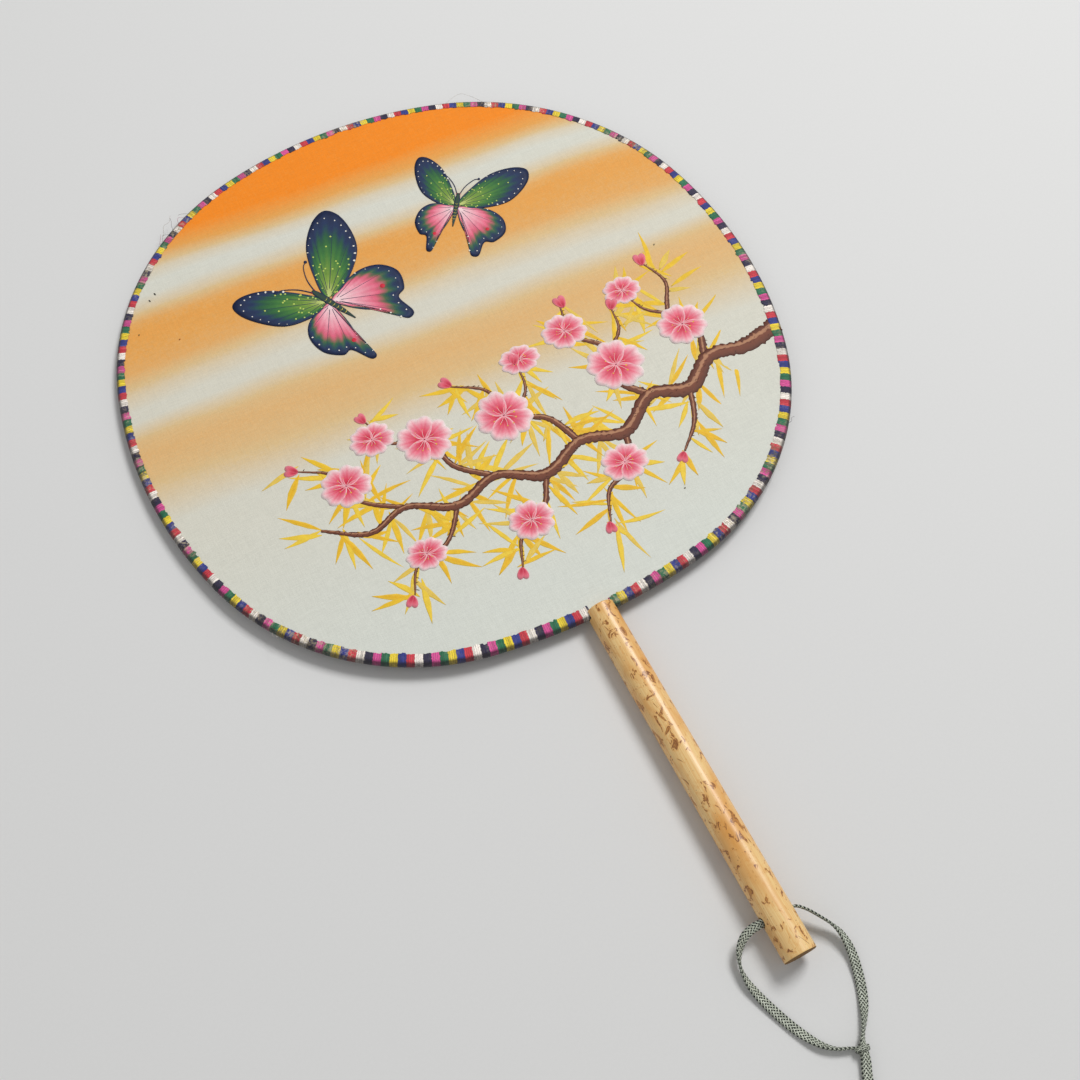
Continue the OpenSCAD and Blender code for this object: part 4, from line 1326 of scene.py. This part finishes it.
class FAN_OT_frame_finishes(Operator):
    """Materials of the CAD nodes that show as they are: cane handle, steel wire and paper wrap"""
    bl_idname = "fan.frame_finishes"
    bl_label = "Cane, wire and paper"

    # How far the bare look of the sawn end goes up the handle
    SAWN_DEPTH = 0.00025

    def execute(self, context):
        for node, finish in (("handle", self.cane()), ("rim_wire", self.wire()), ("wire_wrap", self.paper())):
            slots = frame["nodes"][node].data.materials
            slots.clear()
            slots.append(finish)
        return {"FINISHED"}

    def cane(self):
        """Lacquered spotted cane: glossy honey yellow with small brown-edged spots and amber patches"""
        g = settings().handle
        finish, add = new_finish("lacquered_cane", {"Coat Roughness": 0.27})
        place = add("TexCoord", {}, "Object")
        patches = add("Mapping", {"Vector": place, "Scale": (110.0, 45.0, 110.0)})
        patches = add("TexNoise", {"Vector": patches, "Scale": 1.0, "Detail": 3.0})
        fibre = add("Mapping", {"Vector": place, "Scale": (2600.0, 26.0, 2600.0)})
        fibre = add("TexNoise", {"Vector": fibre, "Scale": 1.0})
        # Spots of one to three millimetres, ochre inside a broken brown edge, each in a faint amber halo
        where = add("Mapping", {"Vector": place, "Scale": (120.0, 90.0, 120.0), "Rotation": (0, 0, 0.3)})
        where = add("TexNoise", {"Vector": where, "Scale": 1.0})
        where = add("Math", {0: where, 1: 0.5}, operation="SUBTRACT")
        spots = add("Mapping", {"Vector": place, "Scale": (370.0, 210.0, 370.0)})
        spots = add("TexNoise", {"Vector": spots, "Scale": 1.0, "Detail": 3.0, "Roughness": 0.62,
                                 "Distortion": 0.9})
        drift = add("Math", {0: where, 1: 0.22, 2: spots}, operation="MULTIPLY_ADD")
        layers = (
            (patches, [(0.42, 0.0), (0.7, 0.8)], g.amber),
            (fibre, [(0.36, 0.0), (0.66, 0.5)], g.amber),
            (drift, [(0.5, 0.0), (0.6, 0.5)], g.amber),
            (drift, [(0.585, 0.0), (0.61, 0.75)], g.ochre),
        )
        body = opaque(g.honey)
        for pattern, stops, shade in layers:
            cover = add("ValToRGB", {0: pattern}, stops=stops)
            body = add("Mix", {0: cover, 6: body, 7: opaque(shade)}, 2, data_type="RGBA")
        edge = add("ValToRGB", {0: drift}, stops=[(0.592, 0.0), (0.613, 0.95), (0.638, 0.9), (0.66, 0.15)])
        broken = add("ValToRGB", {0: fibre}, stops=[(0.3, 0.5), (0.55, 1.0)])
        broken = add("Math", {0: edge, 1: broken}, operation="MULTIPLY")
        specks = add("TexNoise", {"Vector": place, "Scale": 1500.0, "Detail": 1.0})
        specks = add("ValToRGB", {0: specks}, stops=[(0.7, 0.0), (0.76, 0.6)])
        flecks = add("Math", {0: broken, 1: specks}, operation="MAXIMUM")
        body = add("Mix", {0: flecks, 6: body, 7: opaque(g.fleck)}, 2, data_type="RGBA")
        # One hairline crack slants down to the butt on the upper side
        from_start = add("VectorMath", {0: place, 1: g.crack_start}, operation="SUBTRACT")
        run = add("VectorMath", {0: from_start, 1: g.crack_way}, 1, operation="DOT_PRODUCT")
        sideways = (-g.crack_way[1], g.crack_way[0], 0)
        off = add("VectorMath", {0: from_start, 1: sideways}, 1, operation="DOT_PRODUCT")
        off = add("Math", {0: where, 1: 0.0012, 2: off}, operation="MULTIPLY_ADD")
        off = add("Math", {0: off}, operation="ABSOLUTE")
        crack = add("Math", {0: off, 1: g.crack_half_width}, operation="LESS_THAN")
        rise = add("SeparateXYZ", {0: from_start}, 2)
        limits = ((run, "GREATER_THAN", 0.0), (run, "LESS_THAN", g.crack_long), (rise, "GREATER_THAN", 0.0))
        for value, side, limit in limits:
            within = add("Math", {0: value, 1: limit}, operation=side)
            crack = add("Math", {0: crack, 1: within}, operation="MULTIPLY")
        crack = add("Math", {0: crack, 1: 0.8}, operation="MULTIPLY")
        body = add("Mix", {0: crack, 6: body, 7: opaque(g.fleck)}, 2, data_type="RGBA")
        # The sawn lower end is bare: brown pores, no gloss
        end_y = float(lay_down([0, g.butt, 0])[1]) + self.SAWN_DEPTH
        sawn = add("SeparateXYZ", {0: place}, 1)
        sawn = add("Math", {0: sawn, 1: end_y}, operation="LESS_THAN")
        pores = add("TexNoise", {"Vector": place, "Scale": 2600.0})
        pores = add("ValToRGB", {0: pores}, stops=[(0.45, 0.0), (0.6, 1.0)])
        darker = [0.55 * c for c in g.cut]
        bare = add("Mix", {0: pores, 6: opaque(g.cut), 7: opaque(darker)}, 2, data_type="RGBA")
        add("Mix", {0: sawn, 6: body, 7: bare}, 2, feeds="Base Color", data_type="RGBA")
        add("MapRange", {0: sawn, 3: 0.5, 4: 0.95}, feeds="Roughness")
        add("MapRange", {0: sawn, 3: 0.5, 4: 0.0}, feeds="Coat Weight")
        add("Bump", {"Height": fibre, "Strength": 0.16, "Distance": 0.0001}, feeds="Normal")
        return finish

    def wire(self):
        """Drawn steel wire: grey, with fine lines along it"""
        finish, add = new_finish("drawn_steel", {"Metallic": 1.0, "Roughness": 0.38})
        lines = add("TexNoise", {"Vector": add("TexCoord", {}, "Object"), "Scale": 1400.0})
        add("ValToRGB", {0: lines}, stops=[(0.3, 0.28), (0.7, 0.45)], feeds="Base Color")
        return finish

    def paper(self):
        """Pasted mulberry paper: cream, matt, with short fibres"""
        finish, add = new_finish("mulberry_paper", {"Roughness": 0.85})
        fibres = add("TexNoise", {"Vector": add("TexCoord", {}, "Object"), "Scale": 1100.0, "Detail": 4.0})
        shades = [(0.3, linear("#D9CDB0")), (0.7, linear("#EFE7D2"))]
        add("ValToRGB", {0: fibres}, stops=shades, feeds="Base Color")
        add("Bump", {"Height": fibres, "Strength": 0.3, "Distance": 0.0001}, feeds="Normal")
        return finish


class FAN_OT_tassel(Operator):
    """The tassel: a thread-bound head, its lashing and a skirt of loose strands"""
    bl_idname = "fan.tassel"
    bl_label = "Tassel"

    # In millimetres: middle of the head's top, and the turn of the tassel about it in degrees
    AT = (-6.5, -261.0)
    TURN = -7.0
    # Head: width and length; bundle of strands: width; lashing: rise over the bundle and length; skirt:
    # length, width and height
    HEAD = (8.4, 7.4)
    BUNDLE = 5.0
    LASHING = (0.7, 3.0)
    SKIRT = (48.0, 15.0, 4.4)
    # Thickness of the head's thread, of the lashing's and of a strand's half
    HEAD_THREAD = 0.42
    LASHING_THREAD = 0.4
    HALF_STRAND = 0.24
    STRANDS = 230
    # Share of the skirt's outline that the strands fill, and how much longer than thick wound thread looks
    SKIRT_FILL = 0.94
    PRESSED = 1.1
    # Gap between head and lashing, and between the head and the floor
    GAP = 0.1
    FLOOR_GAP = 0.05
    # Directions of the tassel's own axes
    ASIDE, ALONG, UP = np.eye(3)

    def place(self, points):
        """Points in the tassel's own millimetres, along -Y from the head's top, set where the tassel lies"""
        turn = math.radians(self.TURN)
        points = np.asarray(points, float)
        x = points[..., 0] * math.cos(turn) - points[..., 1] * math.sin(turn) + self.AT[0]
        y = points[..., 0] * math.sin(turn) + points[..., 1] * math.cos(turn) + self.AT[1]
        z = points[..., 2] + self.HEAD[0] / 2 + self.FLOOR_GAP
        return np.stack([x, y, z], -1) / 1000

    def wound(self, name, radius_at, start, end, thread):
        """Thread wound close round a turned core"""
        skins = Skins()
        corners, core_corners, steps_a_turn = 6, 24, 26
        turns = (end - start) / thread
        t = np.linspace(0, 1, int(turns * steps_a_turn))
        y = -(start + thread / 2 + (end - start - thread) * t)
        phase = math.tau * turns * t
        out = np.stack([np.cos(phase), 0 * phase, np.sin(phase)], -1)
        line = out * radius_at(-y)[:, None] + self.ALONG * y[:, None]
        rings = tube(line, out, self.ALONG, thread / 2, thread / 2 * self.PRESSED, corners)
        skins.add(self.place(rings), phase, np.linspace(0, 1, corners + 1))
        core_y = np.linspace(start + 0.02, end - 0.02, 16)
        core_r = np.maximum(radius_at(core_y) - thread * 0.2, 0.2)[:, None, None]
        core = tube(-core_y[:, None] * self.ALONG, self.ASIDE, self.UP, core_r, core_r, core_corners)
        skins.add(self.place(core), core_y, np.linspace(0, 1, core_corners + 1))
        return skins.piece(name)

    def execute(self, context):
        finish = self.thread_finish()
        width, long = self.HEAD

        def ball(y):
            across = np.sqrt(np.maximum((width / 2) ** 2 - (y - long / 2) ** 2, 0.3))
            return across - self.HEAD_THREAD / 2

        head = self.wound("tassel_knob", ball, 0, long, self.HEAD_THREAD)
        settle(head, finish, "tassel_thread", "tassel_head")
        band, deep = self.LASHING
        start = long + self.GAP

        def band_radius(y):
            return np.full_like(y, self.BUNDLE / 2 + band - self.LASHING_THREAD / 2)

        neck = self.wound("tassel_lashing", band_radius, start, start + deep, self.LASHING_THREAD)
        settle(neck, finish, "tassel_thread", "tassel_neck")
        settle(self.skirt(start, deep), finish, "tassel_thread", "tassel_skirt")
        return {"FINISHED"}

    def skirt(self, start, deep):
        """Loose strands that leave the lashing as a bundle, spread and come to rest on the floor"""
        long, wide, flat = self.SKIRT
        drop = (self.HEAD[0] - self.BUNDLE) / 2
        draw = random.Random(11)
        skins = Skins()
        corners = 4
        t = np.linspace(0, 1, 15)
        fall = np.clip((t * long - deep) / (long - deep), 0, 1)
        spread = np.sin(math.pi / 2 * fall)
        half_x = self.BUNDLE / 2 + (wide - self.BUNDLE) / 2 * spread
        half_z = self.BUNDLE / 2 + (flat - self.BUNDLE) / 2 * spread
        middle_z = drop * ((1 - fall) ** 2 - 1) + (flat - self.BUNDLE) * spread / 2
        for k in range(self.STRANDS):
            out, turn = math.sqrt(draw.random()), draw.uniform(0, math.tau)
            reach = long * draw.uniform(0.93, 1.0)
            wave = draw.uniform(0.1, 0.5) * np.sin(t * draw.uniform(4, 9) + draw.uniform(0, 6)) * t
            x = out * math.cos(turn) * half_x * self.SKIRT_FILL + wave
            z = out * math.sin(turn) * half_z * self.SKIRT_FILL + middle_z
            line = np.stack([x, -(start + reach * t), z], -1)
            rings = tube(line, self.ASIDE, self.UP, self.HALF_STRAND, self.HALF_STRAND, corners)
            skins.add(self.place(rings), t * long + k, np.linspace(0, 1, corners + 1))
        return skins.piece("tassel_strands")

    def thread_finish(self):
        """Spun viscose floss: satin, the colour of the cord"""
        looks = settings().cord
        finish, add = new_finish("viscose_floss", {"Roughness": 0.42, "Sheen Weight": 0.3})
        streak = add("Mapping", {"Vector": add("TexCoord", {}, "Object"), "Scale": (2200.0, 60.0, 2200.0)})
        streak = add("TexNoise", {"Vector": streak, "Scale": 1.0})
        add("Mix", {0: streak, 6: opaque(looks.deep), 7: opaque(looks.thread)}, 2, feeds="Base Color",
            data_type="RGBA")
        add("Bump", {"Height": streak, "Strength": 0.4, "Distance": 0.00008}, feeds="Normal")
        return finish


OPERATORS = (FAN_OT_stage, FAN_OT_tassel, FAN_OT_cord, FAN_OT_frame_finishes, FAN_OT_painting, FAN_OT_silk,
             FAN_OT_tape)


class FAN_PT_panel(Panel):
    """Makes the fan's pieces"""
    bl_label = "Round silk hand fan"
    bl_space_type = "VIEW_3D"
    bl_region_type = "UI"
    bl_category = "Fan"

    def draw(self, context):
        for operator in OPERATORS:
            self.layout.operator(operator.bl_idname)
        for group in FanSettings.__annotations__:
            box = self.layout.box()
            box.label(text=group.capitalize())
            values = getattr(context.scene.fan, group)
            for name in values.__annotations__:
                box.prop(values, name)


CLASSES = (HoopSizes, HandleSizes, TapeLooks, SilkLooks, CordLooks, StageLooks, FanSettings, *OPERATORS,
           FAN_PT_panel)


def register():
    for part in CLASSES:
        bpy.utils.register_class(part)
    bpy.types.Scene.fan = PointerProperty(type=FanSettings)


def unregister():
    del bpy.types.Scene.fan
    for part in reversed(CLASSES):
        bpy.utils.unregister_class(part)


def main():
    register()
    bpy.ops.object.select_all(action="DESELECT")
    bpy.ops.fan.stage()
    bpy.ops.fan.tassel()
    bpy.ops.fan.cord()
    bpy.ops.fan.frame_finishes()
    bpy.ops.fan.painting()
    bpy.ops.fan.silk()
    bpy.ops.fan.tape()
    low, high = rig.bounds()
    with open(SIZE_FILE, "w") as file:
        json.dump({"cad": [list(corner) for corner in cad_box], "scene": [list(low), list(high)]}, file)


if __name__ == "__main__":
    main()
